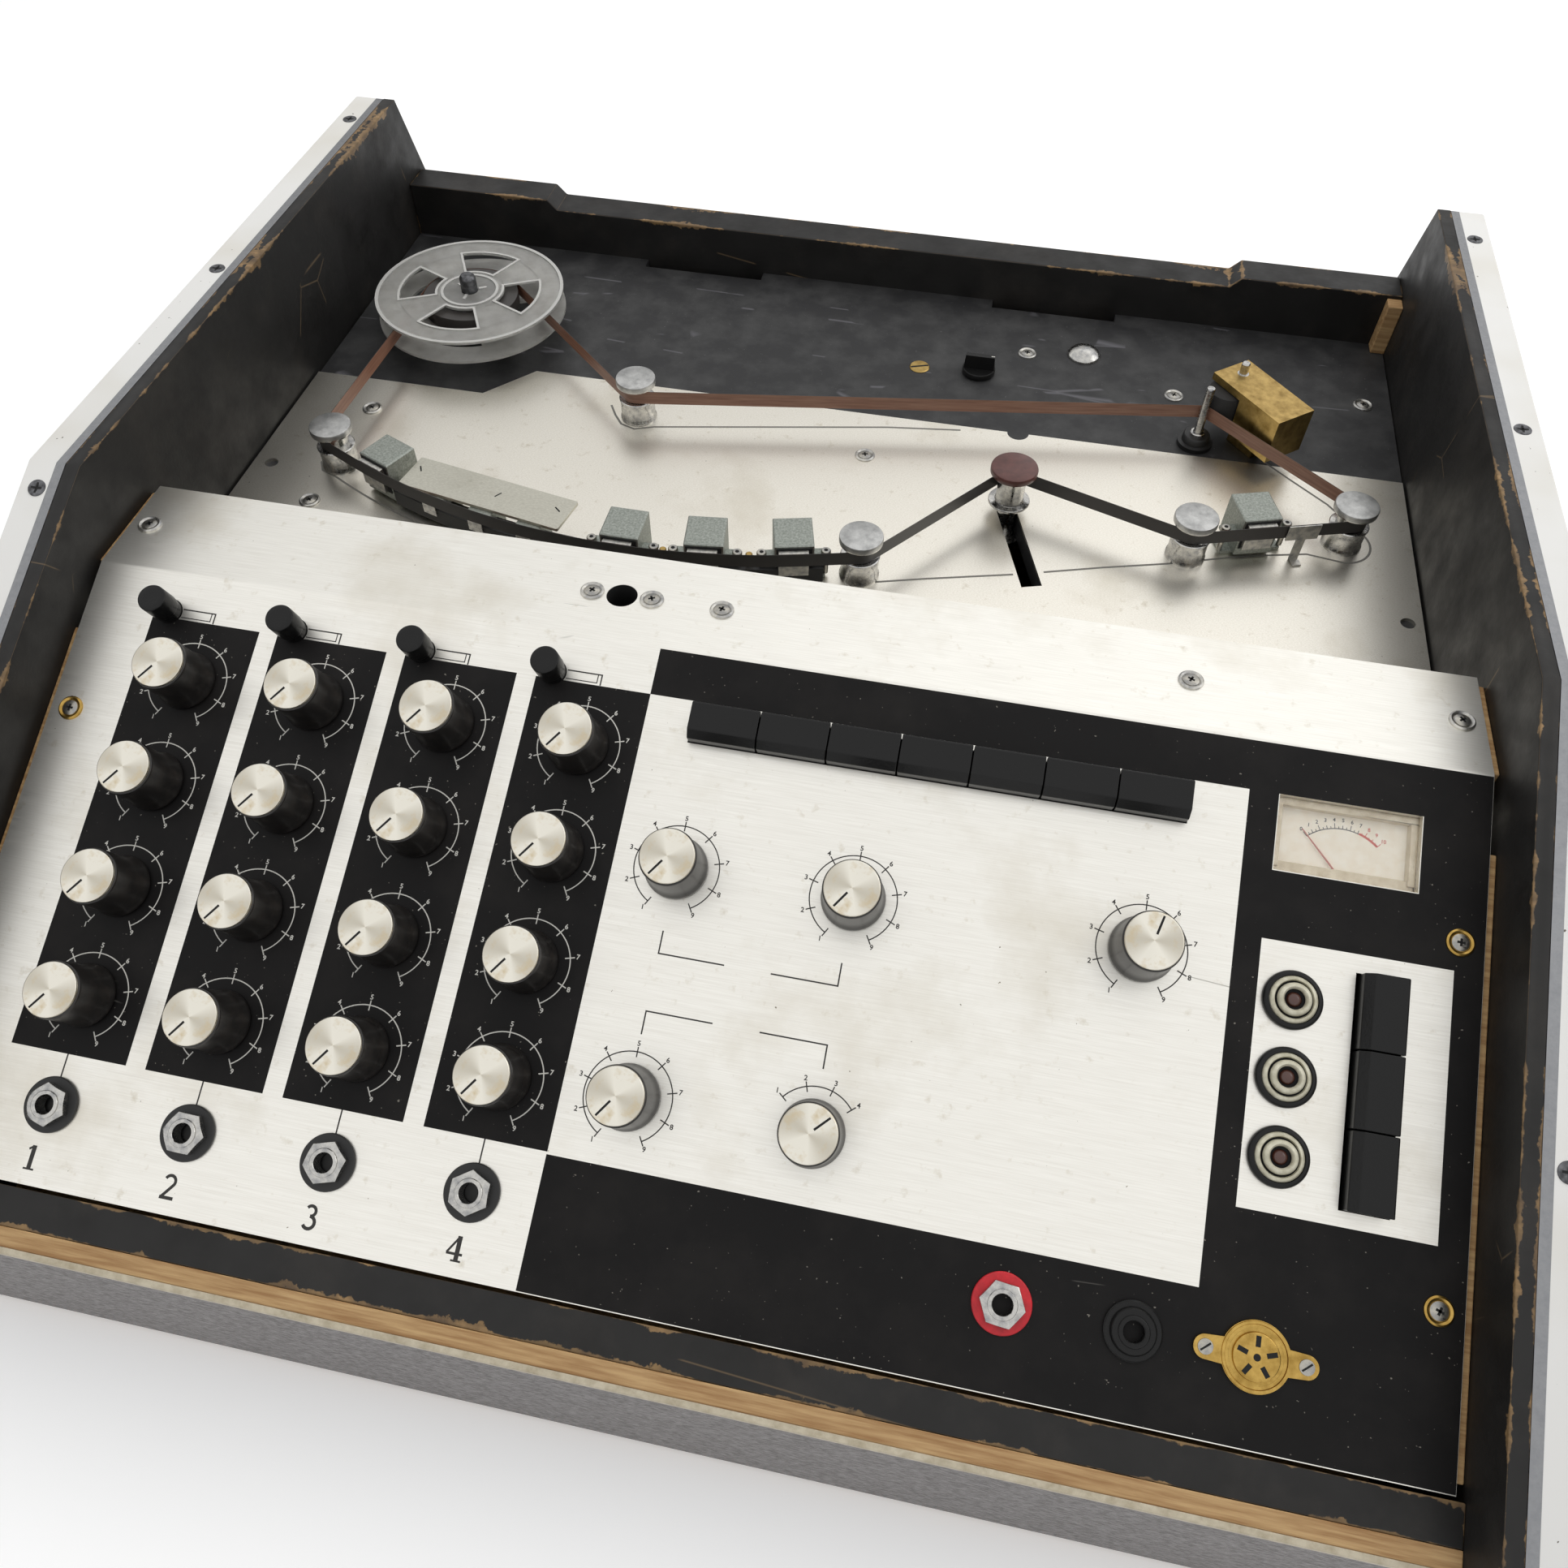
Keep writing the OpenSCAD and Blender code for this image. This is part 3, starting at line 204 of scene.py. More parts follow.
class Shape:
    """Gathers faces in millimetres, each with its finish, and turns them into one piece."""

    def __init__(self, place=None):
        self.place = place or Matrix()
        self.points = []
        self.faces = []
        self.uses = []
        self.finishes = []

    def add(self, points, faces, finish, place=None):
        move = self.place @ place if place else self.place
        start = len(self.points)
        self.points += [move @ Vector(p) for p in points]
        if finish not in self.finishes:
            self.finishes.append(finish)
        for face in faces:
            self.faces.append([start + k for k in face])
            self.uses.append(self.finishes.index(finish))
        return self

    def lathe(self, profile, finish, place=None, steps=48, close=False):
        """Turns an (r, z) outline about Z. `close` puts a disc on each open end."""
        points, faces, rings = [], [], []
        for r, z in profile:
            if r < 1e-6:
                rings.append([len(points)] * steps)
                points.append((0, 0, z))
            else:
                rings.append(list(range(len(points), len(points) + steps)))
                for k in range(steps):
                    a = 2 * math.pi * k / steps
                    points.append((r * math.cos(a), r * math.sin(a), z))
        for low, high in zip(rings, rings[1:]):
            for k in range(steps):
                n = (k + 1) % steps
                face = []
                for i in (low[k], low[n], high[n], high[k]):
                    if i not in face:
                        face.append(i)
                if len(face) > 2:
                    faces.append(face)
        if close:
            for ring, flip in ((rings[0], True), (rings[-1], False)):
                if len(set(ring)) > 2:
                    faces.append(ring[::-1] if flip else list(ring))
        return self.add(points, faces, finish, place)

    def prism(self, outline, low, high, finish, place=None, shrink=0.0):
        """Raises an outline (anticlockwise) from `low` to `high`, its top drawn in by `shrink` all round."""
        n = len(outline)
        top = inset(outline, shrink) if shrink else outline
        points = [(x, y, low) for x, y in outline] + [(x, y, high) for x, y in top]
        walls = [[i, (i + 1) % n, n + (i + 1) % n, n + i] for i in range(n)]
        return self.add(points, [list(range(n))[::-1], list(range(n, 2 * n))] + walls, finish, place)

    def block(self, low, high, finish, place=None):
        """A plain block between two corners; bevels come when the piece is made."""
        outline = [(low[0], low[1]), (high[0], low[1]), (high[0], high[1]), (low[0], high[1])]
        return self.prism(outline, low[2], high[2], finish, place)

    def ring(self, outer, inner, low, high, finish, steps=48):
        """A flat ring or a tube with square edges."""
        profile = [(inner, low), (outer, low), (outer, high), (inner, high), (inner, low)]
        return self.lathe(profile, finish, steps=steps)

    def ribbon(self, path, width, height, finish, place=None, closed=False):
        """A flat printed line of that width along a path of (x, y)."""
        edges = both_edges(path, width / 2, closed)
        n = len(path)
        points = [(x, y, height) for side in edges for x, y in side]
        faces = [[i, (i + 1) % n, n + (i + 1) % n, n + i] for i in range(n if closed else n - 1)]
        return self.add(points, faces, finish, place)

    def nut(self, flats, bore, low, high, finish, place=None):
        """A hexagon nut with a bore through it and its corners turned off at the top."""
        steps, top = 48, flats * 0.485
        points, faces = [], []
        for k in range(steps):
            a = 2 * math.pi * k / steps
            hexagon = flats / 2 / math.cos((a + math.pi / 6) % (math.pi / 3) - math.pi / 6)
            drop = (hexagon - top) * 0.55
            for r, z in ((bore, low), (hexagon, low), (hexagon, high - drop), (top, high), (bore, high)):
                points.append((r * math.cos(a), r * math.sin(a), z))
        for k in range(steps):
            a, b = 5 * k, 5 * ((k + 1) % steps)
            faces += [[a + i, b + i, b + i + 1, a + i + 1] for i in range(4)]
        return self.add(points, faces, finish, place)

    def mesh(self, name, bevel=0.0, smooth=35.0, segments=2, worn=0.0):
        """One mesh in metres. `worn` maps that many millimetres next to every edge, for worn paint."""
        mesh = bpy.data.meshes.new(name)
        mesh.from_pydata([p * MM for p in self.points], [], self.faces)
        for finish in self.finishes:
            mesh.materials.append(material(finish))
        for polygon, use in zip(mesh.polygons, self.uses):
            polygon.material_index = use
        work = bmesh.new()
        work.from_mesh(mesh)
        bmesh.ops.remove_doubles(work, verts=work.verts, dist=1e-7)
        bmesh.ops.recalc_face_normals(work, faces=work.faces)
        if worn:
            map_edges(work, worn)
        work.to_mesh(mesh)
        work.free()
        mesh.shade_smooth()
        mesh.set_sharp_from_angle(angle=math.radians(smooth))
        mesh["bevel"] = bevel
        mesh["segments"] = segments
        return mesh

    def piece(self, name, body="case", slot=None, replaces=(), bevel=0.0, smooth=35.0, segments=2, worn=0.0):
        return put(self.mesh(name, bevel, smooth, segments, worn), name, body, replaces)


def map_edges(work, reach):
    """Splits a strip off along every edge of every face, and maps it by its millimetres from the edge."""
    layer = work.loops.layers.uv.new("edge")
    inner = {}
    for face in list(work.faces):
        corners = [v.co.copy() for v in face.verts]
        widths = []
        for i, here in enumerate(corners):
            along = (corners[(i + 1) % len(corners)] - here).normalized()
            widths.append(max(((c - here) - along * along.dot(c - here)).length for c in corners))
        depth = min(reach, 0.45 * min(widths) / MM)
        bmesh.ops.inset_individual(work, faces=[face], thickness=depth * MM, use_even_offset=True)
        inner.update({v: depth for v in face.verts})
    for face in work.faces:
        for loop in face.loops:
            loop[layer].uv = (0.0, inner.get(loop.vert, 0.0))


def put(mesh, name, body="case", replaces=(), place=None):
    """Stands a mesh in the scene and has it move with its body."""
    obj = bpy.data.objects.new(name, mesh)
    bpy.context.scene.collection.objects.link(obj)
    if place:
        metres = place.copy()
        metres.translation = place.translation * MM
        obj.matrix_world = metres
    if mesh.get("bevel", 0.0) > 0:
        bevel = obj.modifiers.new("edges", "BEVEL")
        bevel.width = mesh["bevel"] * MM
        bevel.segments = mesh["segments"]
        bevel.limit_method = "ANGLE"
        bevel.angle_limit = math.radians(40)
        bevel.harden_normals = True
        bevel.use_clamp_overlap = True
    bpy.context.view_layer.update()
    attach(obj, body)
    if replaces:
        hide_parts(*replaces)
    return obj


def inset(outline, by):
    """The same anticlockwise outline, drawn in by `by`."""
    return both_edges(outline, by, True)[1]


def both_edges(path, by, closed):
    """The two lines that run `by` to the right and to the left of a path."""
    n = len(path)
    right, left = [], []
    for i, here in enumerate(path):
        before = path[i - 1] if closed or i else None
        after = path[(i + 1) % n] if closed or i < n - 1 else None
        ways = []
        for a, b in ((before, here), (here, after)):
            if a is not None and b is not None:
                way = Vector(b) - Vector(a)
                if way.length > 1e-9:
                    ways.append(way.normalized())
        mean = sum(ways, Vector((0, 0))).normalized()
        side = Vector((mean.y, -mean.x))
        reach = by / max(0.3, side.dot(Vector((ways[0].y, -ways[0].x))))
        right.append(tuple(Vector(here) + side * reach))
        left.append(tuple(Vector(here) - side * reach))
    return right, left


def arc(x, y, r, start, end, steps):
    """Points on an arc, angles in degrees anticlockwise from +X."""
    angles = [math.radians(start + (end - start) * k / steps) for k in range(steps + 1)]
    return [(x + r * math.cos(a), y + r * math.sin(a)) for a in angles]


def rounded(x0, y0, x1, y1, r, steps=5):
    """A rectangle with rounded corners, anticlockwise."""
    turns = [(x1 - r, y0 + r, -90), (x1 - r, y1 - r, 0), (x0 + r, y1 - r, 90), (x0 + r, y0 + r, 180)]
    return [p for x, y, a in turns for p in arc(x, y, r, a, a + 90, steps)]


def dress(node, finish):
    """Gives a CAD node that keeps its shape a better finish."""
    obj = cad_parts[node]
    for slot in obj.material_slots:
        slot.link = "OBJECT"
        slot.material = material(finish)


# ---- Finishes ----


def add(tree, kind, inputs=None, out=None, **settings):
    """Adds a node. Its inputs are numbers, colours or links. Gives the node itself, or its output `out`."""
    made = tree.nodes.new(kind)
    for key, value in settings.items():
        setattr(made, key, value)
    for key, value in (inputs or {}).items():
        if isinstance(value, bpy.types.NodeSocket):
            tree.links.new(value, made.inputs[key])
        else:
            made.inputs[key].default_value = value
    return made if out is None else made.outputs[out]


def begin(name, base, rough, metallic=0.0, specular=0.5, **more):
    """A new material with its shader, and the object's own coordinates to draw patterns on."""
    made = bpy.data.materials.new(name)
    made.use_nodes = True
    made.diffuse_color = base
    tree = made.node_tree
    tree.nodes.clear()
    inputs = {"Base Color": base, "Roughness": rough, "Metallic": metallic, "Specular IOR Level": specular}
    shader = add(tree, "ShaderNodeBsdfPrincipled", inputs | more)
    add(tree, "ShaderNodeOutputMaterial", {"Surface": shader.outputs["BSDF"]})
    return made, tree, shader, add(tree, "ShaderNodeTexCoord", out="Object")


def maths(tree, operation, *values):
    """Arithmetic on numbers and on other nodes' outputs."""
    return add(tree, "ShaderNodeMath", dict(enumerate(values)), 0, operation=operation)


def rise(tree, value, low, high, top=1.0):
    """0 where the value is `low`, and `top` where it is `high`."""
    inputs = {"Value": value, "From Min": low, "From Max": high, "To Max": top}
    return add(tree, "ShaderNodeMapRange", inputs, 0)


def spots(tree, place, size, low, high, detail=3.0, stretch=(1, 1, 1)):
    """Cloudy patches about `size` millimetres across: 0 where the noise is under `low`, 1 above `high`."""
    moved = add(tree, "ShaderNodeMapping", {"Vector": place, "Scale": stretch}, out=0)
    inputs = {"Vector": moved, "Scale": 1 / (size * MM), "Detail": detail, "Roughness": 0.6}
    return rise(tree, add(tree, "ShaderNodeTexNoise", inputs, "Fac"), low, high)


def scratches(tree, place, spacing, share, turn=0.6, width=0.018):
    """Fine straight scratches: the thin borders of long cells, broken up by patches."""
    inputs = {"Vector": place, "Rotation": (0.3, 0.2, turn), "Scale": (0.13, 1, 1)}
    inputs = {"Vector": add(tree, "ShaderNodeMapping", inputs, 0), "Scale": 1 / (spacing * MM)}
    cells = add(tree, "ShaderNodeTexVoronoi", inputs, "Distance", feature="DISTANCE_TO_EDGE")
    where = spots(tree, place, spacing * 0.8, 1 - share, 1.02 - share, 1.0)
    return maths(tree, "MULTIPLY", rise(tree, cells, width, 0.0), where)


def tint(tree, factor, below, above):
    """`below` where the factor is 0 and `above` where it is 1."""
    return add(tree, "ShaderNodeMix", {0: factor, 6: below, 7: above}, 2, data_type="RGBA")


def grey(value):
    """A level of grey as a colour, used for roughness as well."""
    return (value, value, value, 1)


def patched(tree, place, look, hex_colour, *patches):
    """`look` with another colour in patches, which are given as for spots()."""
    return tint(tree, spots(tree, place, *patches), look, linear(hex_colour))


def scored(tree, place, look, hex_colour, *lines):
    """`look` with another colour in fine scratches, which are given as for scratches()."""
    return tint(tree, scratches(tree, place, *lines), look, linear(hex_colour))


def bumps(tree, shader, height, depth, strength=1.0):
    """Lets a pattern stand out by `depth` millimetres."""
    inputs = {"Height": height, "Distance": depth * MM, "Strength": strength}
    link(tree, add(tree, "ShaderNodeBump", inputs, "Normal"), shader, "Normal")


def link(tree, output, shader, name="Base Color"):
    """Feeds one of the shader's inputs."""
    tree.links.new(output, shader.inputs[name])


def gloss_paint():
    """Gloss paint on plywood: bright and a little wavy, yellowed in patches and chipped to dark specks."""
    white = colours().cheek_white[:]
    made, tree, shader, place = begin("gloss_paint_on_plywood", white, 0.36)
    look = patched(tree, place, white, "#D6D2C8", 90, 0.48, 0.75)
    look = patched(tree, place, look, "#5D564D", 3.4, 0.745, 0.76, 2.0)
    link(tree, look, shader)
    bumps(tree, shader, spots(tree, place, 5, 0.2, 0.8), 0.05, 0.5)
    return made


def worn_black_paint():
    """Flat black paint brushed on plywood, rubbed through to tan wood along the arrises."""
    c = colours()
    made, tree, shader, place = begin("worn_black_paint_on_plywood", c.case_black[:], 0.5, specular=0.35)
    edge = add(tree, "ShaderNodeUVMap", out=0, uv_map="edge")
    distance = add(tree, "ShaderNodeSeparateXYZ", {0: edge}, "Y")
    # How far the paint is gone varies along the edge: long stretches keep it, others lose a few millimetres
    slow = spots(tree, place, 44, 0.47, 0.7, 6.0)
    fine = spots(tree, place, 3.2, 0.25, 0.8, 6.0)
    reach = maths(tree, "MULTIPLY_ADD", slow, fine, 0.02)
    reach = maths(tree, "MULTIPLY", reach, sizes().wear_width / MM * 3.0)
    bare = rise(tree, maths(tree, "SUBTRACT", reach, distance), 0.0, 0.4)
    wood = patched(tree, place, c.bare_ply[:], "#77603F", 2.2, 0.35, 0.65, 2.0, (0.1, 1, 1))
    wood = patched(tree, place, wood, "#5B4A38", 9, 0.35, 0.65, 6.0)
    dust = patched(tree, place, c.case_black[:], "#2B2825", 34, 0.5, 0.8, 6.0)
    dust = scored(tree, place, dust, "#5E4F3C", 60, 0.38, 0.9, 0.006)
    link(tree, tint(tree, bare, dust, wood), shader)
    link(tree, tint(tree, spots(tree, place, 18, 0.3, 0.7), grey(0.42), grey(0.66)), shader, "Roughness")
    bumps(tree, shader, spots(tree, place, 1.6, 0.2, 0.8, 4.0, (0.4, 1, 1)), 0.06, 0.6)
    return made


def deck_paint():
    """Satin black paint on the flat deck board: greyed by rubbing, with faint pale scuffs."""
    black = colours().deck_black[:]
    made, tree, shader, place = begin("satin_black_paint", black, 0.55, specular=0.4)
    look = patched(tree, place, black, "#3A3A3A", 16, 0.42, 0.72, 8.0)
    look = patched(tree, place, look, "#5A5A59", 1.1, 0.7, 0.78, 2.0)
    look = scored(tree, place, look, "#57565A", 30, 0.4, 0.4)
    link(tree, look, shader)
    bumps(tree, shader, spots(tree, place, 1.4, 0.2, 0.8, 4.0), 0.03, 0.5)
    return made


def textured_covering():
    """Grey leathercloth glued over plywood: a fine grain along the board that breaks up the light."""
    pale = colours().cover_grey[:]
    made, tree, shader, place = begin("grey_leathercloth", pale, 0.58)
    # The real grain is about 0.3 mm, drawn at 0.8 mm so that it shows
    grain = spots(tree, place, 0.8, 0.35, 0.65, 4.0, (0.35, 1, 1))
    link(tree, tint(tree, grain, linear("#55514F"), pale), shader)
    bumps(tree, shader, grain, 0.15, 0.9)
    return made


def brushed(name, pale, dull, stain, rough, stretch):
    """Aluminium brushed in one direction: fine lines spread the highlight across them, and stains dull it."""
    made, tree, shader, place = begin(name, pale, rough, 1.0)
    # Real brush lines are under 0.1 mm apart, drawn coarser so that they show
    lines = spots(tree, place, sizes().brush_pitch / MM, 0.25, 0.75, 3.0, stretch)
    look = tint(tree, lines, pale, linear(dull))
    look = patched(tree, place, look, stain, 70, 0.54, 0.8, 6.0)
    look = patched(tree, place, look, stain, 5, 0.62, 0.8, 4.0)
    look = patched(tree, place, look, "#8A8274", 2.0, 0.77, 0.79, 2.0)
    look = scored(tree, place, look, "#A5A29A", 60, 0.28, 1.3, 0.003)
    link(tree, look, shader)
    link(tree, tint(tree, lines, grey(rough - 0.05), grey(rough + 0.06)), shader, "Roughness")
    bumps(tree, shader, lines, 0.005, 0.1)
    return made


def panel_sheet():
    """The panel's aluminium: brushed from side to side, with pale brown stains."""
    return brushed("brushed_aluminium_sheet", colours().sheet[:], "#E6E3DB", "#D6D0C2", 0.4, (0.02, 1, 1))


def deck_sheet():
    """The deck plate: the same metal, yellower and finely mottled, with next to no brushing left."""
    return brushed("satin_aluminium_plate", colours().plate[:], "#DAD5C8", "#CBC3B2", 0.36, (0.5, 1, 1))


def cover_sheet():
    """Rolled aluminium over the heads: duller and greyer than the deck plate below it."""
    return brushed("rolled_aluminium", linear("#CDCBBF"), "#B5B2A6", "#A8A496", 0.45, (0.3, 1, 1))


def screen_ink():
    """Screen-printing ink baked on aluminium: flat black with dust and pinholes."""
    black = colours().ink_black[:]
    made, tree, shader, place = begin("screen_ink", black, 0.5, specular=0.14)
    look = patched(tree, place, black, "#201E1D", 26, 0.45, 0.8, 7.0)
    look = patched(tree, place, look, "#77736B", 1.2, 0.76, 0.79, 1.0)
    look = scored(tree, place, look, "#4A4845", 60, 0.3, 0.2, 0.004)
    link(tree, look, shader)
    bumps(tree, shader, spots(tree, place, 0.9, 0.2, 0.8, 3.0), 0.012, 0.5)
    return made


def plain(name, hex_or_colour, rough, metallic=0.0, grain=0.0, shade=None, **more):
    """A finish with one colour, and if asked a fine grain and darker patches in it."""
    base = linear(hex_or_colour) if isinstance(hex_or_colour, str) else hex_or_colour
    made, tree, shader, place = begin(name, base, rough, metallic, **more)
    if shade:
        link(tree, patched(tree, place, base, shade, 4, 0.35, 0.7, 5.0), shader)
    if grain:
        bumps(tree, shader, spots(tree, place, grain, 0.2, 0.8, 3.0), grain * 0.08, 0.7)
    return made


def knob_moulding():
    """Phenolic moulding: black with a brown cast, a soft sheen and dust in its grooves."""
    black = colours().knob_black[:]
    made, tree, shader, place = begin("phenolic_moulding", black, 0.34)
    link(tree, patched(tree, place, black, "#2F2A26", 5, 0.5, 0.8, 6.0), shader)
    bumps(tree, shader, spots(tree, place, 0.8, 0.2, 0.8, 2.0), 0.01, 0.5)
    return made


def spun_cap():
    """Aluminium faced on a lathe: its rings stretch the highlight, and two duller wedges are a painted sheen
    that copies its bow-tie highlight.
    """
    metal = colours().cap[:]
    made, tree, shader, place = begin("spun_aluminium", metal, 0.32, 1.0, Anisotropic=0.8)
    link(tree, add(tree, "ShaderNodeTangent", out=0, direction_type="RADIAL", axis="Z"), shader, "Tangent")
    x, y, _ = add(tree, "ShaderNodeSeparateXYZ", {0: place}).outputs
    across = add(tree, "ShaderNodeCombineXYZ", {0: x, 1: y, 2: 0.0}, 0)
    reach = add(tree, "ShaderNodeVectorMath", {0: across}, "Value", operation="LENGTH")
    # Rings every 0.35 mm stand for the lathe's feed marks
    rings = maths(tree, "SINE", maths(tree, "MULTIPLY", reach, 2 * math.pi / (0.35 * MM)))
    # Painted sheen: two duller wedges fixed on the cap stand for the bow-tie highlight of spun metal
    twice = maths(tree, "MULTIPLY_ADD", maths(tree, "ARCTAN2", y, x), 2.0, 0.9)
    painted_sheen_wedges = rise(tree, maths(tree, "SINE", twice), -0.4, 1.0, 0.75)
    look = tint(tree, painted_sheen_wedges, metal, linear("#B9B2A2"))
    link(tree, patched(tree, place, look, "#C7B48E", 5, 0.52, 0.8, 5.0), shader)
    bumps(tree, shader, rings, 0.004, 0.35)
    return made


def turned(name, base, rough):
    """Steel or nickel turned on a lathe, dulled by years of handling."""
    made, tree, shader, place = begin(name, linear(base), rough, 1.0)
    link(tree, patched(tree, place, linear(base), "#86878A", 3, 0.4, 0.75, 6.0), shader)
    worn = spots(tree, place, 1.0, 0.3, 0.7, 4.0)
    link(tree, tint(tree, worn, grey(rough - 0.1), grey(rough + 0.15)), shader, "Roughness")
    return made


def die_casting():
    """Die-cast head shells: a dull grey-green skin with a sandy grain."""
    made, tree, shader, place = begin("die_cast_zinc", linear("#A2A69F"), 0.55, 0.85)
    sand = spots(tree, place, 0.9, 0.3, 0.7, 5.0)
    link(tree, tint(tree, sand, linear("#80857E"), linear("#ADB1AA")), shader)
    bumps(tree, shader, sand, 0.05, 0.6)
    return made


def tape_film():
    """Oxide side of the tape: brown and half glossy, with lengthwise streaks."""
    brown = colours().tape_brown[:]
    made, tree, shader, place = begin("tape_oxide", brown, 0.38)
    link(tree, patched(tree, place, brown, "#8E6A57", 0.9, 0.3, 0.7, 2.0, (0.05, 0.05, 1)), shader)
    return made


def clear_styrene():
    """Moulded styrene of the reel: clear but milky with fine scratches."""
    milky = linear("#D9D8D4")
    clear = {"Transmission Weight": 0.72, "IOR": 1.3}
    made, tree, shader, place = begin("moulded_styrene", milky, 0.28, **clear)
    link(tree, patched(tree, place, milky, "#C4C2BD", 6, 0.4, 0.7, 6.0), shader)
    bumps(tree, shader, scratches(tree, place, 9, 0.5, 0.3, 0.03), 0.03, 0.6)
    return made


def window_glass():
    """The meter's window: clear acrylic, polished."""
    return plain("clear_acrylic", "#FFFFFF", 0.03, IOR=1.46, **{"Transmission Weight": 1.0})


def plywood():
    """Bare birch ply: pale tan with grain along the board."""
    made, tree, shader, place = begin("birch_plywood", linear("#B08B5C"), 0.7)
    grain = spots(tree, place, 1.6, 0.35, 0.65, 4.0, (0.06, 1, 1))
    link(tree, tint(tree, grain, linear("#9A744A"), linear("#C2A071")), shader)
    bumps(tree, shader, grain, 0.05, 0.5)
    return made


FINISHES = {
    "white paint": gloss_paint,
    "black paint": worn_black_paint,
    "deck paint": deck_paint,
    "covering": textured_covering,
    "sheet": panel_sheet,
    "deck sheet": deck_sheet,
    "cover sheet": cover_sheet,
    "ink": screen_ink,
    "knob": knob_moulding,
    "cap": spun_cap,
    "casting": die_casting,
    # Turned aluminium caps of the guide posts: dull, with darker patches
    "post cap": lambda: plain("turned_aluminium_cap", "#C6C6C4", 0.45, 1.0, 0.6, "#9C9C9B"),
    "oxide": tape_film,
    "styrene": clear_styrene,
    # Raised moulded edges of the reel: the same styrene made less clear, a painted highlight for the light
    # that runs along them
    "styrene highlight rim": lambda: plain("styrene_rim_painted_highlight", "#D8D7D3", 0.25, **{"Transmission Weight": 0.3}),
    "needle red": lambda: plain("faded_red_needle", "#B8675C", 0.6),
    "window": window_glass,
    "plywood": plywood,
    # Black print on bare metal, and bare metal left as lines in the ink
    "black print": lambda: plain("black_print", "#23211F", 0.55),
    "line print": lambda: plain("grey_line_print", "#6A6862", 0.5),
    "bare print": lambda: plain("bare_metal_lines", "#C9C7C0", 0.45),
    "red print": lambda: plain("red_print", "#C24A3C", 0.6),
    # Moulded ABS: black, half glossy, bright along its bevels
    "key": lambda: plain("black_abs", colours().key_black[:], 0.3, grain=0.9, specular=0.25),
    "nickel": lambda: turned("bright_nickel", "#C4C2BD", 0.2),
    "satin nickel": lambda: turned("satin_nickel", "#CDCAC2", 0.36),
    "screw": lambda: turned("zinc_plated_steel", "#B4B0A6", 0.32),
    "dark steel": lambda: turned("blackened_steel", "#4A4A4C", 0.38),
    "metal edge": lambda: turned("aluminium_edging", "#8F9092", 0.4),
    "tape back": lambda: plain("tape_backing", colours().tape_back[:], 0.42),
    # Cast brass: warm yellow, dulled with darker patches
    "brass": lambda: plain("cast_brass", colours().brass[:], 0.36, 1.0, 0.8, "#8E7440"),
    "rubber": lambda: plain("ground_rubber", "#1C1B1B", 0.75, grain=0.5),
    "soft black": lambda: plain("black_phenolic_washer", "#121212", 0.45),
    # Near black for bores, slots, grooves and gaps: painted shade of their depth; the knobs' pointer lines
    # take it as black fill
    "bore": lambda: plain("unlit_bore", "#050505", 0.8),
    "red fibre": lambda: plain("red_fibre", colours().red[:], 0.4, shade="#A81822"),
    "cream": lambda: plain("cream_polystyrene", "#D9CDB4", 0.42, shade="#BFAE8E"),
    "card": lambda: plain("meter_card", "#F1EBDD", 0.7, shade="#EADFCB"),
    "ivory": lambda: plain("ivory_ring", "#D6D2BE", 0.36, 0.2, shade="#A9A48D"),
    "lens": lambda: plain("brown_red_lens", "#4A2A22", 0.25, **{"Coat Weight": 0.4}),
    "brown cap": lambda: plain("brown_phenolic", "#5E3833", 0.34, shade="#4A2B27"),
    "gold": lambda: plain("gilt_contacts", "#C5A35A", 0.3, 1.0, shade="#9A7A3C"),
    "board": lambda: plain("circuit_board", "#8A7440", 0.6),
    "pale edge": lambda: plain("pale_edging", "#C9BFA9", 0.5, shade="#A89C84"),
}


MADE = {}


def material(finish):
    """The finish of that name, made when it is first asked for."""
    if finish not in MADE:
        MADE[finish] = FINISHES[finish]()
    return MADE[finish]


def colours():
    return bpy.context.scene.echo_colours


def sizes():
    return bpy.context.scene.echo_sizes


# ---- Operators: one for each piece or group of like pieces ----


# Turn a prism so that it is raised along X or, backwards, along Y
ALONG_X = Matrix(((0, 0, 1, 0), (1, 0, 0, 0), (0, 1, 0, 0), (0, 0, 0, 1)))
ALONG_Y = Matrix.Rotation(math.radians(90), 4, "X")
CHEEK_T = 15.0
SIDE_T = 6.0
FASCIA_T = 7.8
FRONT_T = 11.6
BACK_T = 18.0
CHEEK_IN = HALF_OUT - CHEEK_T
CASE_IN = CHEEK_IN - SIDE_T
FASCIA_Y = FRONT_Y + FASCIA_T
PANEL_Y = FASCIA_Y + FRONT_T
BACK_END = BACK_Y + BACK_T
BATTEN = 15.0


def panel_plane(y):
    """Height of the panel's sloping plane, carried on past its front edge."""
    return FOLD_Z + (y - FOLD_Y) * math.tan(SLOPE)


def rim_at(y):
    """Height of the side boards' rim."""
    return RIM_Z - max(0.0, FOLD_Y + KINK_Y - y) * math.tan(SLOPE)


def side_outline():
    """The side boards and cheeks: level rim, sloping front and a cut corner at the back."""
    return [
        (FRONT_Y, FOOT_Z),
        (REAR_Y, FOOT_Z),
        (REAR_Y, RIM_Z - 44.0),
        (REAR_Y - 17.5, RIM_Z),
        (FOLD_Y + KINK_Y, RIM_Z),
        (FRONT_Y, rim_at(FRONT_Y)),
    ]


def board_outline(y0, y1):
    """A board across the front, its top cut along the panel's plane."""
    return [(y0, FOOT_Z), (y1, FOOT_Z), (y1, panel_plane(y1)), (y0, panel_plane(y0))]


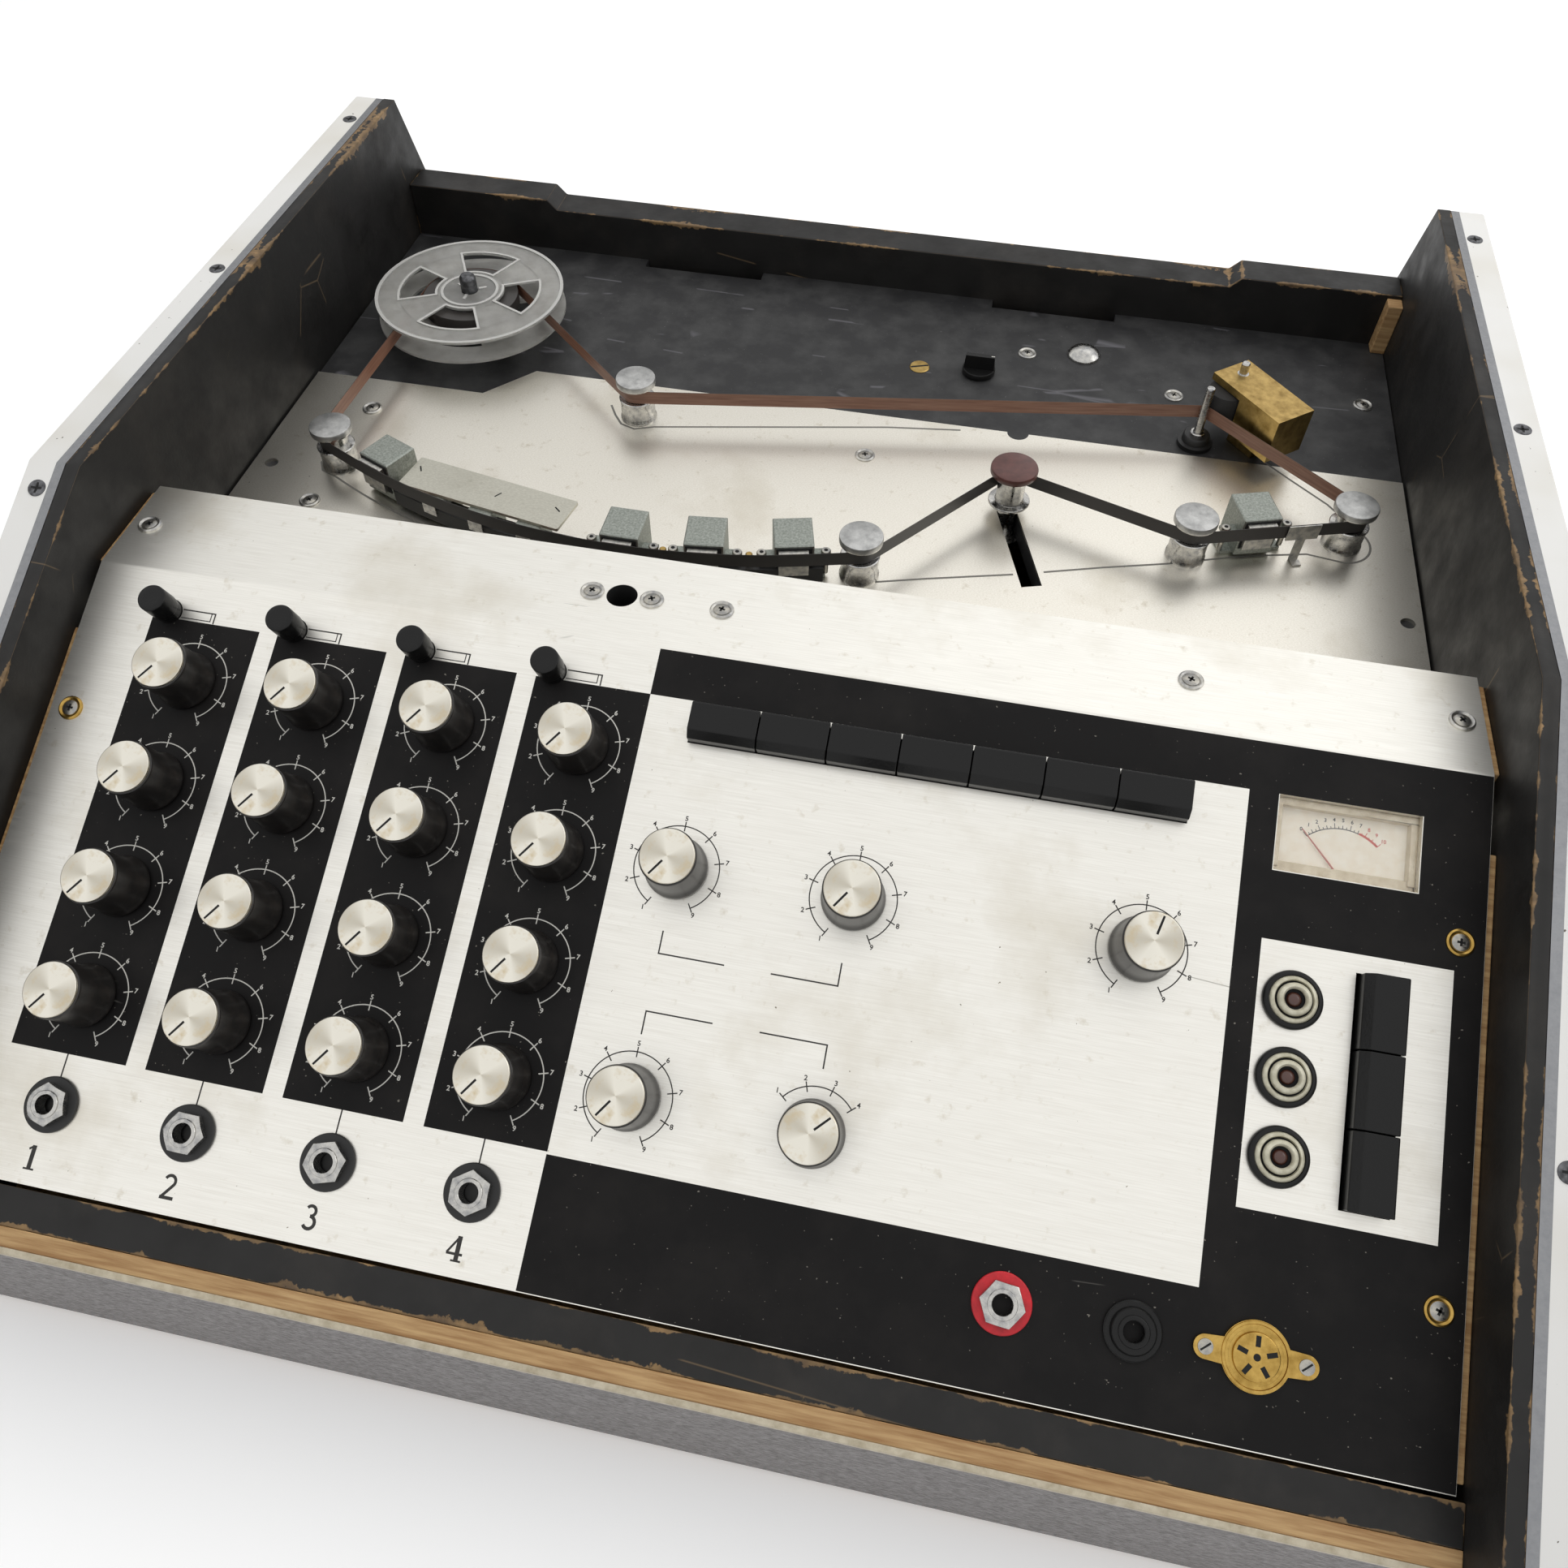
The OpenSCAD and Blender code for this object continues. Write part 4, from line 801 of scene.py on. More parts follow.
class EchoCase(bpy.types.Operator):
    """Inner boards painted black and worn at their edges, and the battens that carry panel and deck"""

    bl_idname = "echo.case"
    bl_label = "Black inner boards"

    def execute(self, context):
        def board(name, outline, low, high, along, bevel):
            made = Shape().prism(outline, low, high, "black paint", along)
            made.piece(name, slot="black_ply", replaces=["inner_boards"], bevel=bevel, worn=7.0)

        for name, x0 in (("side_board_left", -CHEEK_IN), ("side_board_right", CASE_IN)):
            board(name, side_outline(), x0, x0 + SIDE_T, ALONG_X, 0.5)
        board("front_board", board_outline(FASCIA_Y, PANEL_Y), -CASE_IN, CASE_IN, ALONG_X, 0.6)
        # The back board is lower between its two ends
        top, end, step = DECK_Z + 20.6, CASE_IN - 82.0, 5.0
        half = [(CASE_IN, top + step), (end + step, top + step), (end, top)]
        outline = [(-CASE_IN, FOOT_Z), (CASE_IN, FOOT_Z)] + half + [(-x, z) for x, z in half[::-1]]
        board("back_board", outline, -BACK_END, -BACK_Y, ALONG_Y, 0.7)

        wood = Shape()
        for x0 in (-CASE_IN, CASE_IN - BATTEN):
            x1 = x0 + BATTEN
            wood.block((x0, FOLD_Y + 3, DECK_Z - 25.5), (x1, BACK_Y, DECK_Z - 10.5), "plywood")
            wood.block((x0, 2, -17), (x1, 43, -2), "plywood", STRIP)
            wood.block((x0, -219, -17), (x1, -27, -2), "plywood", PANEL)
        # Bare corner batten that shows at the right end of the back board
        wood.block((CASE_IN - 7, BACK_Y - 8, DECK_Z - 1.5), (CASE_IN, BACK_Y, DECK_Z + 24), "plywood")
        wood.piece("battens", slot="black_ply", replaces=["inner_boards"], bevel=0.6)
        return {"FINISHED"}


class EchoCheeks(bpy.types.Operator):
    """White outer cheeks with the aluminium edging on the inner side of their rims"""

    bl_idname = "echo.cheeks"
    bl_label = "White cheeks"

    def execute(self, context):
        joint, thin = 0.02, 0.12
        for name, mirror in (("cheek_left", -1), ("cheek_right", 1)):
            x0, x1 = sorted((mirror * (CHEEK_IN + joint), mirror * HALF_OUT))
            cheek = Shape().prism(side_outline(), x0, x1, "white paint", ALONG_X)
            cheek.piece(name, slot="white_ply", replaces=["side_cheeks"], bevel=1.2, segments=3)
            # The edging lies on the rim, let into the paint so that it adds no height
            path = [(FRONT_Y + 1, rim_at(FRONT_Y + 1)), (FOLD_Y + KINK_Y, RIM_Z), (REAR_Y - 18.5, RIM_Z)]
            inner, outer = sorted((mirror * (CHEEK_IN - 0.2), mirror * (CHEEK_IN + 3.4)))
            right, left = both_edges(path, thin, False)
            edging = Shape().prism(right + left[::-1], inner, outer, "metal edge", ALONG_X)
            edging.piece(f"edging_{name}", slot="white_ply")
        return {"FINISHED"}


class EchoFascia(bpy.types.Operator):
    """Outer front board: plywood with grey leathercloth on its face and a pale edging along its top"""

    bl_idname = "echo.fascia"
    bl_label = "Front board"

    def execute(self, context):
        skin_y, top = FRONT_Y + 2.0, panel_plane(FRONT_Y)
        core = Shape().prism(board_outline(skin_y, FASCIA_Y - 0.05), -CASE_IN, CASE_IN, "plywood", ALONG_X)
        core.piece("front_core", slot="grey_cloth", replaces=["front_fascia"], bevel=0.5)
        face = [(FRONT_Y, FOOT_Z), (skin_y, FOOT_Z), (skin_y, top - 0.6), (FRONT_Y, top - 1.6)]
        lip = [(FRONT_Y, top - 1.6), (skin_y, top - 0.6), (skin_y, top + 0.8), (FRONT_Y, top)]
        skin = Shape().prism(face, -CASE_IN, CASE_IN, "covering", ALONG_X)
        skin.prism(lip, -CASE_IN, CASE_IN, "pale edge", ALONG_X)
        skin.piece("front_skin", slot="grey_cloth", replaces=["front_fascia"], bevel=0.3)
        dress("base_board", "plywood")
        return {"FINISHED"}


class EchoFeet(bpy.types.Operator):
    """Rubber feet with a countersunk screw in each"""

    bl_idname = "echo.feet"
    bl_label = "Rubber feet"

    def execute(self, context):
        r = 15.0
        (x0, y0, _), (x1, y1, _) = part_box("rubber_feet")
        profile = [(0, 3), (4.5, 3), (5.5, 0.4), (6.2, 0), (11.4, 0), (12.4, 0.5)]
        profile += [(r, 7.2), (r, FOOT_Z), (0, FOOT_Z)]
        foot = Shape().lathe(profile, "rubber").lathe([(0, 3.2), (3.6, 3.2), (3.4, 2.2), (0, 2.0)], "screw")
        mesh = foot.mesh("rubber_foot", smooth=40)
        places = [(x, y) for x in (x0 / MM + r, x1 / MM - r) for y in (y0 / MM + r, y1 / MM - r)]
        for i, (x, y) in enumerate(places):
            put(mesh, f"foot_{i + 1}", "case", ["rubber_feet"], at(x, y))
        return {"FINISHED"}


class EchoScrews(bpy.types.Operator):
    """Screws in cup washers on panel and deck, wood screws in the cheeks, domed cap and brass adjuster"""

    bl_idname = "echo.screws"
    bl_label = "Screws"

    def execute(self, context):
        cup = [(4.6, 0), (4.5, 0.55), (3.9, 0.98), (3.4, 0.85), (3.0, 0.3), (0, 0.2)]
        head = [(2.85, 0), (2.85, 0.2), (2.85, 0.6), (2.5, 0.84), (0, 0.95)]
        in_board = -1.5

        def cross(shape, long, half, low, high):
            """The cross slot of a screw's head: near-black blocks on the head, painted shade for the recess.
            """
            for w, d in ((long, half), (half, long)):
                shape.block((-w, -d, low), (w, d, high), "bore")
            return shape

        def cup_screw(name, cup_finish):
            made = Shape().lathe(cup, cup_finish).lathe(head, "screw")
            return cross(made, 1.3, 0.4, 0.5, 0.965).mesh(name, smooth=40)

        bright, brown = cup_screw("cup_screw", "satin nickel"), cup_screw("cup_screw_yellowed", "gold")
        places = []
        for side in (-1, 1):
            for v, left in ((-58.6, brown), (-172.0, bright)):
                places.append((brown if side > 0 else left, on(PANEL, side * EDGE_SCREWS_U, v, 20 * v)))
            places.append((bright, on(STRIP, side * EDGE_SCREWS_U, STRIP_V, 35)))
            places.append((bright, on(STRIP, BARE_HOLE_U + side * 11.5, STRIP_V, side * 25)))
        places += [(bright, on(STRIP, x, STRIP_V, x)) for x in (-16.6, 154.0)]
        on_plate = ((-218.8, 155.3), (-219.5, 86.8), (15.2, 169.0))
        places += [(bright, on(DECK, x, y, x)) for x, y in on_plate]
        on_board = ((81.5, 267.7), (153.9, 247.2), (243.3, 258.6))
        places += [(bright, on(DECK, x, y, y, in_board)) for x, y in on_board]
        for i, (mesh, place) in enumerate(places):
            put(mesh, f"screw_{i + 1:02d}", "case", ["screws"], place)

        wood = Shape().lathe([(3.4, 0), (3.3, 0.28), (2.6, 0.4), (0.9, 0.2), (0, 0.1)], "dark steel")
        mesh = cross(wood, 2.2, 0.4, 0.1, 0.35).mesh("wood_screw", smooth=40)
        for side, letter in ((-1, "l"), (1, "r")):
            for i, y in enumerate((-180.0, -50.0, 95.0, 237.0)):
                tilt = Matrix.Rotation(SLOPE if y < FOLD_Y + KINK_Y else 0, 4, "X")
                place = Matrix.Translation((side * (CHEEK_IN + CHEEK_T / 2), y, rim_at(y))) @ tilt
                put(mesh, f"cheek_screw_{letter}{i + 1}", "case", ["screws"], place)

        profile = [(8.3, 0), (8.3, 0.7), (7.9, 1.3), (6.6, 2.5), (4.6, 3.6), (2.4, 4.15), (0, 4.3)]
        dome = Shape(on(DECK, 109.4, 272.6, z=in_board)).lathe(profile, "nickel")
        dome.piece("domed_cap", slot="screw_steel", replaces=["screws"], smooth=60)
        slotted = Shape(on(DECK, 30.3, 245.2, z=in_board))
        slotted.lathe([(4.9, 0), (4.9, 0.2), (4.5, 0.6), (0, 0.6)], "brass")
        # Near-black slot on the adjuster's head: painted shade of the slot
        slotted.block((-4.4, -0.55, 0.3), (4.4, 0.55, 0.64), "bore", at(turn=20))
        slotted.piece("brass_adjuster", slot="screw_steel", replaces=["screws"], smooth=40)
        return {"FINISHED"}


def flat(shape, x0, y0, x1, y1, height, finish):
    """A printed rectangle."""
    corners = [(x0, y0), (x1, y0), (x1, y1), (x0, y1)]
    return shape.add([(x, y, height) for x, y in corners], [[0, 1, 2, 3]], finish)


# Heights of the printing above its sheet, each layer a little higher than what it crosses
INK_Z, LINE_Z, SCALE_Z, MARK_Z = 0.03, 0.04, 0.05, 0.06
DIGITS = {}
# The built-in font's digits are this much of its size high
DIGIT_HEIGHT = 0.73


def numerals(shape, text, x, y, height, finish, lift=SCALE_Z):
    """Prints a number with its middle at x, y. Its outline is kept for the next time."""
    if text not in DIGITS:
        curve = bpy.data.curves.new("numeral", "FONT")
        curve.body = text
        curve.align_x = "CENTER"
        curve.align_y = "CENTER"
        curve.resolution_u = 3
        # Printed digits are bolder than the built-in font's
        curve.offset = 0.022
        obj = bpy.data.objects.new("numeral", curve)
        bpy.context.scene.collection.objects.link(obj)
        bpy.context.view_layer.update()
        mesh = obj.evaluated_get(bpy.context.evaluated_depsgraph_get()).to_mesh()
        DIGITS[text] = ([tuple(v.co) for v in mesh.vertices], [list(f.vertices) for f in mesh.polygons])
        obj.to_mesh_clear()
        bpy.data.objects.remove(obj)
        bpy.data.curves.remove(curve)
    points, faces = DIGITS[text]
    size = height / DIGIT_HEIGHT
    shape.add([(x + px * size, y + py * size, lift) for px, py, _ in points], faces, finish)


SCALE_R = 14.9
MARKS_R = (13.1, 16.5)
NUMBERS_R = 17.6


def dial(shape, u, v, finish, names, start=-150.0, end=150.0):
    """An arc with a mark and a number at each of its steps. Angles run clockwise from up the slope."""
    width = sizes().mark_width / MM
    shape.ribbon(arc(u, v, SCALE_R, 90 - start, 90 - end, 56), width, SCALE_Z, finish)
    for i, name in enumerate(names):
        angle = math.radians(90 - start - (end - start) * i / (len(names) - 1))
        x, y = math.cos(angle), math.sin(angle)
        shape.ribbon([(u + x * r, v + y * r) for r in MARKS_R], width, MARK_Z, finish)
        numerals(shape, name, u + x * NUMBERS_R, v + y * NUMBERS_R, sizes().numeral / MM, finish)


def channel_number(shape, number, place):
    """Prints a bold number with serifs from strokes, each a path drawn 8 units high and its width."""
    k = sizes().channel_numeral / MM / 8
    strokes = {
        1: [([(0, -4), (0, 4)], 1.5), ([(-1.9, -3.7), (1.9, -3.7)], 0.6), ([(-1.7, 2.6), (-0.3, 3.6)], 0.7)],
        2: [(arc(0, 1.9, 1.8, 160, -35, 12) + [(-1.7, -3.2)], 1.0), ([(-2.4, -3.45), (2.4, -3.45)], 1.1)],
        3: [(arc(-0.1, 2.0, 1.6, 150, -90, 12), 1.0), (arc(-0.1, -1.6, 2.0, 90, -150, 12), 1.1)],
        4: [
            ([(-2.6, -1.5), (0.9, 3.9)], 0.7),
            ([(-2.7, -1.6), (2.7, -1.6)], 0.8),
            ([(0.9, -4), (0.9, 4)], 1.5),
            ([(-0.8, -3.7), (2.6, -3.7)], 0.6),
        ],
    }
    for i, (path, width) in enumerate(strokes[number]):
        shape.ribbon([(x * k, y * k) for x, y in path], width * k, SCALE_Z + 0.005 * i, "black print", place)


class EchoPanel(bpy.types.Operator):
    """The folded aluminium panel and all that is printed on it: black areas, dials, brackets and numbers"""

    bl_idname = "echo.panel"
    bl_label = "Panel and its printing"

    def execute(self, context):
        dress("control_panel", "sheet")
        dress("pots_and_switches", "soft black")
        ink = Shape(PANEL)
        left, right, keys_v, foot_v, half = -33.9, 253.9, -18.3, -179.1, 21.4
        area_foot = -178.3
        areas = [(c - half, area_foot, c + half, keys_v) for c in COLUMNS]
        # Behind the keys, right of the dials, round the meter, round the side keys, and along the front
        areas += [
            (left, keys_v, right, -0.8),
            (175.6, foot_v, 184.2, keys_v),
            (184.2, -68.0, 185.4, keys_v),
            (185.4, -68.0, 232.4, -44.8),
            (232.4, -68.0, right, keys_v),
            (184.2, foot_v, right, -153.4),
            (244.8, -153.4, right, -68.0),
            (left, -221.7, right, foot_v),
        ]
        for area in areas:
            flat(ink, *area, INK_Z, "ink")
        # Channel lines and the small step beside each round button
        for c in COLUMNS:
            flat(ink, c - 0.25, -187.0, c + 0.25, area_foot, LINE_Z, "black print")
            ink.ribbon([(c - 10.4, -14.2), (c + 2.6, -14.2), (c + 2.6, -18.2)], 0.5, LINE_Z, "black print")
            ink.ribbon([(c - 10.4, -17.4), (c + 1.2, -17.4), (c + 1.2, -14.2)], 0.35, LINE_Z, "black print")
        # Brackets that join each pair of dials, open in the middle
        gap, middle = 8.0, sum(DIALS_U) / 2
        for foot, back in ((-100.6, -108.4), (-135.8, -128.0)):
            for u, way in zip(DIALS_U, (1, -1)):
                ink.ribbon([(u, foot), (u, back), (middle - way * gap, back)], 0.5, LINE_Z, "black print")
        ink.piece("panel_ink", slot="panel_sheet")
        # Black cup under the strip's bare hole: painted shade for what is seen through it
        hole = Shape(on(STRIP, BARE_HOLE_U, STRIP_V)).lathe([(5.8, -0.2), (5.8, -14), (0, -14)], "bore")
        hole.piece("bare_hole_painted_shade", slot="panel_sheet")

        marks = Shape(PANEL)
        scale = [str(i) for i in range(1, 10)]
        for c in COLUMNS:
            for v in ROWS:
                dial(marks, c, v, "bare print", scale)
        for name, u, v, _ in DIALS:
            if name == "reverb_dimension_knob":
                dial(marks, u, v, "black print", ["1", "2", "3", "4"], -50.0, 50.0)
            else:
                dial(marks, u, v, "black print", scale)
        marks.piece("dial_marks", slot="panel_sheet")

        channels = Shape()
        for i, c in enumerate(COLUMNS):
            channel_number(channels, i + 1, on(PANEL, c - 1.2, -213.2))
        channels.piece("channel_numbers", slot="panel_sheet")
        return {"FINISHED"}


class EchoKnobs(bpy.types.Operator):
    """Flared black knobs with spun aluminium caps"""

    bl_idname = "echo.knobs"
    bl_label = "Knobs"

    def execute(self, context):
        top, shoulder, cap_r = 21.0, 19.8, 9.3
        knob = Shape()
        skirt = [(8.2, 3.2), (8.2, 0.8), (10.5, 0.8), (11.0, 1.2), (11.0, 1.7), (10.9, 2.2), (10.45, 3.4)]
        skirt += [(10.1, 5.2), (9.95, 8.0), (9.85, shoulder - 1.2), (9.75, shoulder - 0.4)]
        skirt += [(9.55, shoulder - 0.05), (cap_r, shoulder), (0, shoulder)]
        knob.lathe(skirt, "knob", steps=72)
        cap = [(cap_r, shoulder - 0.1), (cap_r, top - 0.5), (9.2, top - 0.2), (8.95, top - 0.04), (8.6, top)]
        cap += [(8.3, top - 0.04), (5.5, top - 0.1), (2.5, top - 0.14), (0, top - 0.15)]
        knob.lathe(cap, "cap", steps=96)
        # The pointer's line, filled black
        knob.block((-0.36, 2.1, top - 0.3), (0.36, 8.5, top - 0.02), "bore")
        mesh = knob.mesh("knob", smooth=50)
        places = []
        for c, u in enumerate(COLUMNS):
            for r, v in enumerate(ROWS):
                places.append((f"ch{c + 1}_{ROW_NAMES[r]}_knob", u, v, LOWEST))
        for node, u, v, angle in places + DIALS:
            put(mesh, f"{node}_dressed", node, [node], on(PANEL, u, v, -angle))
        return {"FINISHED"}


class EchoButtons(bpy.types.Operator):
    """Round black buttons and the two banks of black keys"""

    bl_idname = "echo.buttons"
    bl_label = "Buttons and keys"

    def execute(self, context):
        profile = [(0, -12), (4.7, -12), (4.7, 3.5), (5.1, 3.8), (5.2, 4.4)]
        profile += [(5.2, 12.4), (5.0, 12.8), (4.5, 13.0), (2.8, 12.9), (0, 12.86)]
        mesh = Shape().lathe(profile, "key").mesh("round_button", smooth=50)
        for i, c in enumerate(COLUMNS):
            node = f"mute_button_{i + 1}"
            put(mesh, f"{node}_dressed", node, [node], on(PANEL, c - 15.5, -15.8))

        def key(name, width):
            """A key that is raised towards its back, as long as the pitch leaves it, on a round stem."""
            half, long = width / 2, (KEY_PITCH - 0.4) / 2
            outline = [(-half, -6), (half, -6), (half, 4.7)]
            outline += [(half - 2.7, 7.7), (-half + 0.6, 7.8), (-half, 7.2)]
            made = Shape().prism(outline, -long, long, "key", at(turn=-90) @ ALONG_Y)
            made.lathe([(0, -16), (3, -16), (3, -6), (0, -6)], "key")
            return made.mesh(name, bevel=0.35, smooth=30, segments=3)

        wide, narrow = key("side_key", 13.4), key("key", 13.1)
        for i in range(7):
            node = f"effect_key_{i + 1}"
            place = on(PANEL, KEY_ROW[0] + (i - 3) * KEY_PITCH, KEY_ROW[1])
            put(narrow, f"{node}_dressed", node, [node], place)
        for i, node in enumerate(("mains_key", "motor_key", "erase_key")):
            place = on(PANEL, SIDE_KEYS_U, SIDE_TOP - i * KEY_PITCH, -90)
            put(wide, f"{node}_dressed", node, [node], place)
        return {"FINISHED"}


class EchoMeter(bpy.types.Operator):
    """Meter: stepped cream housing, printed dial, needle and clear window"""

    bl_idname = "echo.meter"
    bl_label = "Meter"

    def execute(self, context):
        place = on(PANEL, *METER)
        # Half the window, the housing's wall and step, and how deep the floor, step and lower ledge lie
        w, d, wall, step = 23.25, 13.1, 2.0, 2.3
        floor, shelf, ledge, ledge_y = -7.6, -3.4, -4.6, -8.7
        house = Shape(place)
        house.block((-w - wall, -d - wall, -22), (w + wall, d + wall, floor), "cream")
        for x in (-w - wall, w):
            house.block((x, -d - wall, floor), (x + wall, d + wall, -2.02), "cream")
        for y in (-d - wall, d):
            house.block((-w, y, floor), (w, y + wall, -2.02), "cream")
        house.block((-w, d - step, floor), (w, d, shelf), "cream")
        house.block((-w, -d, floor), (w, ledge_y, ledge), "cream")
        for x in (-w, w - step):
            house.block((x, -d + step, floor), (x + step, d - step, shelf), "cream")
        house.piece("meter_housing", slot="meter_case", replaces=["vu_meter"], bevel=0.25)

        # The scale's middle and radius, its first angle and its sweep, all as seen on the dial
        pivot, r, first, sweep = -11.0, 17.2, 132, 84
        last_black, print_z = 72, -6.97
        dial_face = Shape(place)
        flat(dial_face, -w + step, ledge_y, w - step, d - step, -7.0, "card")
        dial_face.ribbon(arc(0, pivot, r, first, last_black, 36), 0.32, print_z, "black print")
        dial_face.ribbon(arc(0, pivot, r + 0.15, last_black, first - sweep, 14), 0.75, print_z, "red print")
        for i in range(21):
            a = math.radians(first - sweep * i / 20)
            long = (1.7, 0.7, 1.1, 0.7)[i % 4]
            ink = "red print" if i > 14 else "black print"
            path = [(k * math.cos(a), pivot + k * math.sin(a)) for k in (r + 0.1, r + 0.1 + long)]
            dial_face.ribbon(path, 0.24, print_z + 0.01, ink)
            if i % 2 == 0:
                x, y = (r + 3) * math.cos(a), pivot + (r + 3) * math.sin(a)
                numerals(dial_face, str(i // 2), x, y, 1.3, ink, print_z + 0.01)
        dial_face.piece("meter_dial", slot="meter_case", replaces=["vu_meter"])
        window = Shape(place).block((-w + 0.02, -d + 0.02, -3.0), (w - 0.02, d - 0.02, -2.0), "window")
        window.piece("meter_window", slot="meter_case", replaces=["vu_meter"])

        needle = Shape().lathe([(0.85, -6.5), (2, -6.5), (2, -5.3), (0.85, -5.3)], "needle red", close=True)
        needle.prism([(-0.26, 0), (0.26, 0), (0.12, 20), (-0.12, 20)], -6.2, -5.8, "needle red")
        mesh = needle.mesh("needle", smooth=40)
        rest = on(PANEL, METER[0], METER[1] + pivot, sweep / 2)
        put(mesh, "needle_dressed", "meter_needle", ["meter_needle"], rest)
        return {"FINISHED"}


class EchoLamps(bpy.types.Operator):
    """Indicator lamps: black outer ring, ivory rings and a brown-red lens"""

    bl_idname = "echo.lamps"
    bl_label = "Lamps"

    def execute(self, context):
        body = [(0, -22), (7.5, -22), (7.5, 0), (9.6, 0), (9.6, 1.2), (9.3, 1.9)]
        body += [(8.6, 2.35), (7.9, 2.4), (7.7, 1.9)]
        rings = [
            ("key", body),
            ("ivory", [(7.7, 1.9), (7.5, 2.6), (7.0, 3.1), (6.3, 3.1), (6.0, 2.5)]),
            ("bore", [(6.0, 2.5), (5.9, 1.9), (5.5, 1.9), (5.4, 2.5)]),
            ("ivory", [(5.4, 2.5), (5.3, 3.9), (4.9, 4.5), (4.0, 4.6), (3.5, 4.1), (3.3, 3.2)]),
            ("bore", [(3.3, 3.2), (3.2, 2.2), (2.2, 2.1)]),
        ]
        lamp = Shape()
        for finish, profile in rings:
            lamp.lathe(profile, finish, steps=64)
        lamp.lathe([(2.4, 2.1), (2.3, 2.7), (1.8, 3.2), (0.9, 3.5), (0, 3.6)], "lens")
        mesh = lamp.mesh("lamp", smooth=50)
        for i in range(3):
            place = on(PANEL, LAMPS_U, SIDE_TOP - i * KEY_PITCH)
            put(mesh, f"lamp_{i + 1}", "case", ["lamps"], place)
        return {"FINISHED"}


class EchoSockets(bpy.types.Operator):
    """Jacks with hexagon nuts, the plain jack and the round socket with its screws"""

    bl_idname = "echo.sockets"
    bl_label = "Jacks and sockets"

    def execute(self, context):
        def body(place=None):
            """The part of a jack that is below the panel."""
            return Shape(place).block((-7.5, -10, -22), (7.5, 10, -2.02), "soft black")

        # Near-black lining of the jacks' holes: painted shade of their depth
        bore = [(3.2, -1.0), (3.2, -19.0), (0, -19.0)]

        def jack(name, washer, turn):
            made = body()
            made.lathe([(4.7, 0), (9.4, 0), (9.4, 0.9), (9.1, 1.2), (4.7, 1.2)], washer, steps=56)
            made.nut(12.7, 4.7, 1.2, 4.0, "nickel", at(turn=turn))
            bush = [(4.7, 3.9), (4.7, 4.35), (4.45, 4.6), (3.5, 4.6), (3.2, 4.3), (3.2, -1.0)]
            made.lathe(bush, "nickel").lathe(bore, "bore")
            return made.mesh(name, bevel=0.12, smooth=40)

        black, red = jack("jack", "soft black", 12), jack("jack_red_washer", "red fibre", 24)
        for i, c in enumerate(COLUMNS):
            put(black, f"input_jack_{i + 1}", "case", ["sockets"], on(PANEL, c, JACKS_V, 17 * i))
        put(red, "output_jack", "case", ["sockets"], on(PANEL, OUTPUT_U, JACKS_V))

        plain_jack = body(on(PANEL, PLAIN_U, JACKS_V))
        rings = [(9, 0), (9, 1.1), (8.5, 1.6), (7.2, 1.6), (7.0, 2.5), (6.5, 3.0), (4.9, 3.0), (4.7, 3.4)]
        rings += [(4.4, 3.6), (3.5, 3.6), (3.2, 3.3), (3.2, -1)]
        plain_jack.lathe(rings, "key", steps=64).lathe(bore, "bore")
        plain_jack.piece("plain_jack", slot="nickel", replaces=["sockets"], smooth=40)

        round_one = Shape(on(PANEL, ROUND_U, JACKS_V))
        round_one.lathe([(0, -18), (8.2, -18), (8.2, 0), (0, 0)], "soft black")
        ear_at, ear_r = 15, 3.6
        flange = arc(0, 0, 10.5, 22, 158, 20) + arc(-ear_at, 0, ear_r, 100, 260, 12)
        flange += arc(0, 0, 10.5, 202, 338, 20) + arc(ear_at, 0, ear_r, -80, 80, 12)
        round_one.prism(flange, 0.02, 1.2, "gold")
        round_one.lathe([(10.3, 1.2), (10.2, 1.6), (9.4, 1.6), (9.2, 1.2)], "gold", steps=64)
        # Near-black groove, contact holes, middle hole and screw slots: painted shade of these recesses
        round_one.lathe([(9.2, 1.2), (9.0, 0.9), (8.2, 0.9), (8.2, 1.25)], "bore", steps=64)
        round_one.lathe([(7.2, 1.2), (7.0, 2.1), (6.6, 2.4), (0, 2.4)], "gold", steps=64)
        for k in range(5):
            round_one.block((3.0, -0.75, 2.3), (6.2, 0.75, 2.46), "bore", at(turn=72 * k + 18))
        round_one.lathe([(0, 2.46), (1.1, 2.46), (1.1, 2.3)], "bore")
        for x in (-ear_at, ear_at):
            round_one.lathe([(2.4, 1.2), (2.3, 1.45), (1.4, 1.58), (0, 1.6)], "screw", at(x))
            round_one.block((-1.9, -0.3, 1.45), (1.9, 0.3, 1.6), "bore", at(x, turn=40))
        round_one.piece("round_socket", slot="nickel", replaces=["sockets"], smooth=40)
        return {"FINISHED"}


def arc_angle(x):
    """Where on the tape's arc past the heads that x lies, in degrees from the arc's lowest point."""
    return math.degrees(math.asin((x - ARC_AT[0]) / ARC_R))


def at_arc(x):
    """A place on the tape's arc past the heads, its +Y pointing away from the tape."""
    return on(DECK, *ARC_AT, arc_angle(x)) @ at(0, -ARC_R)


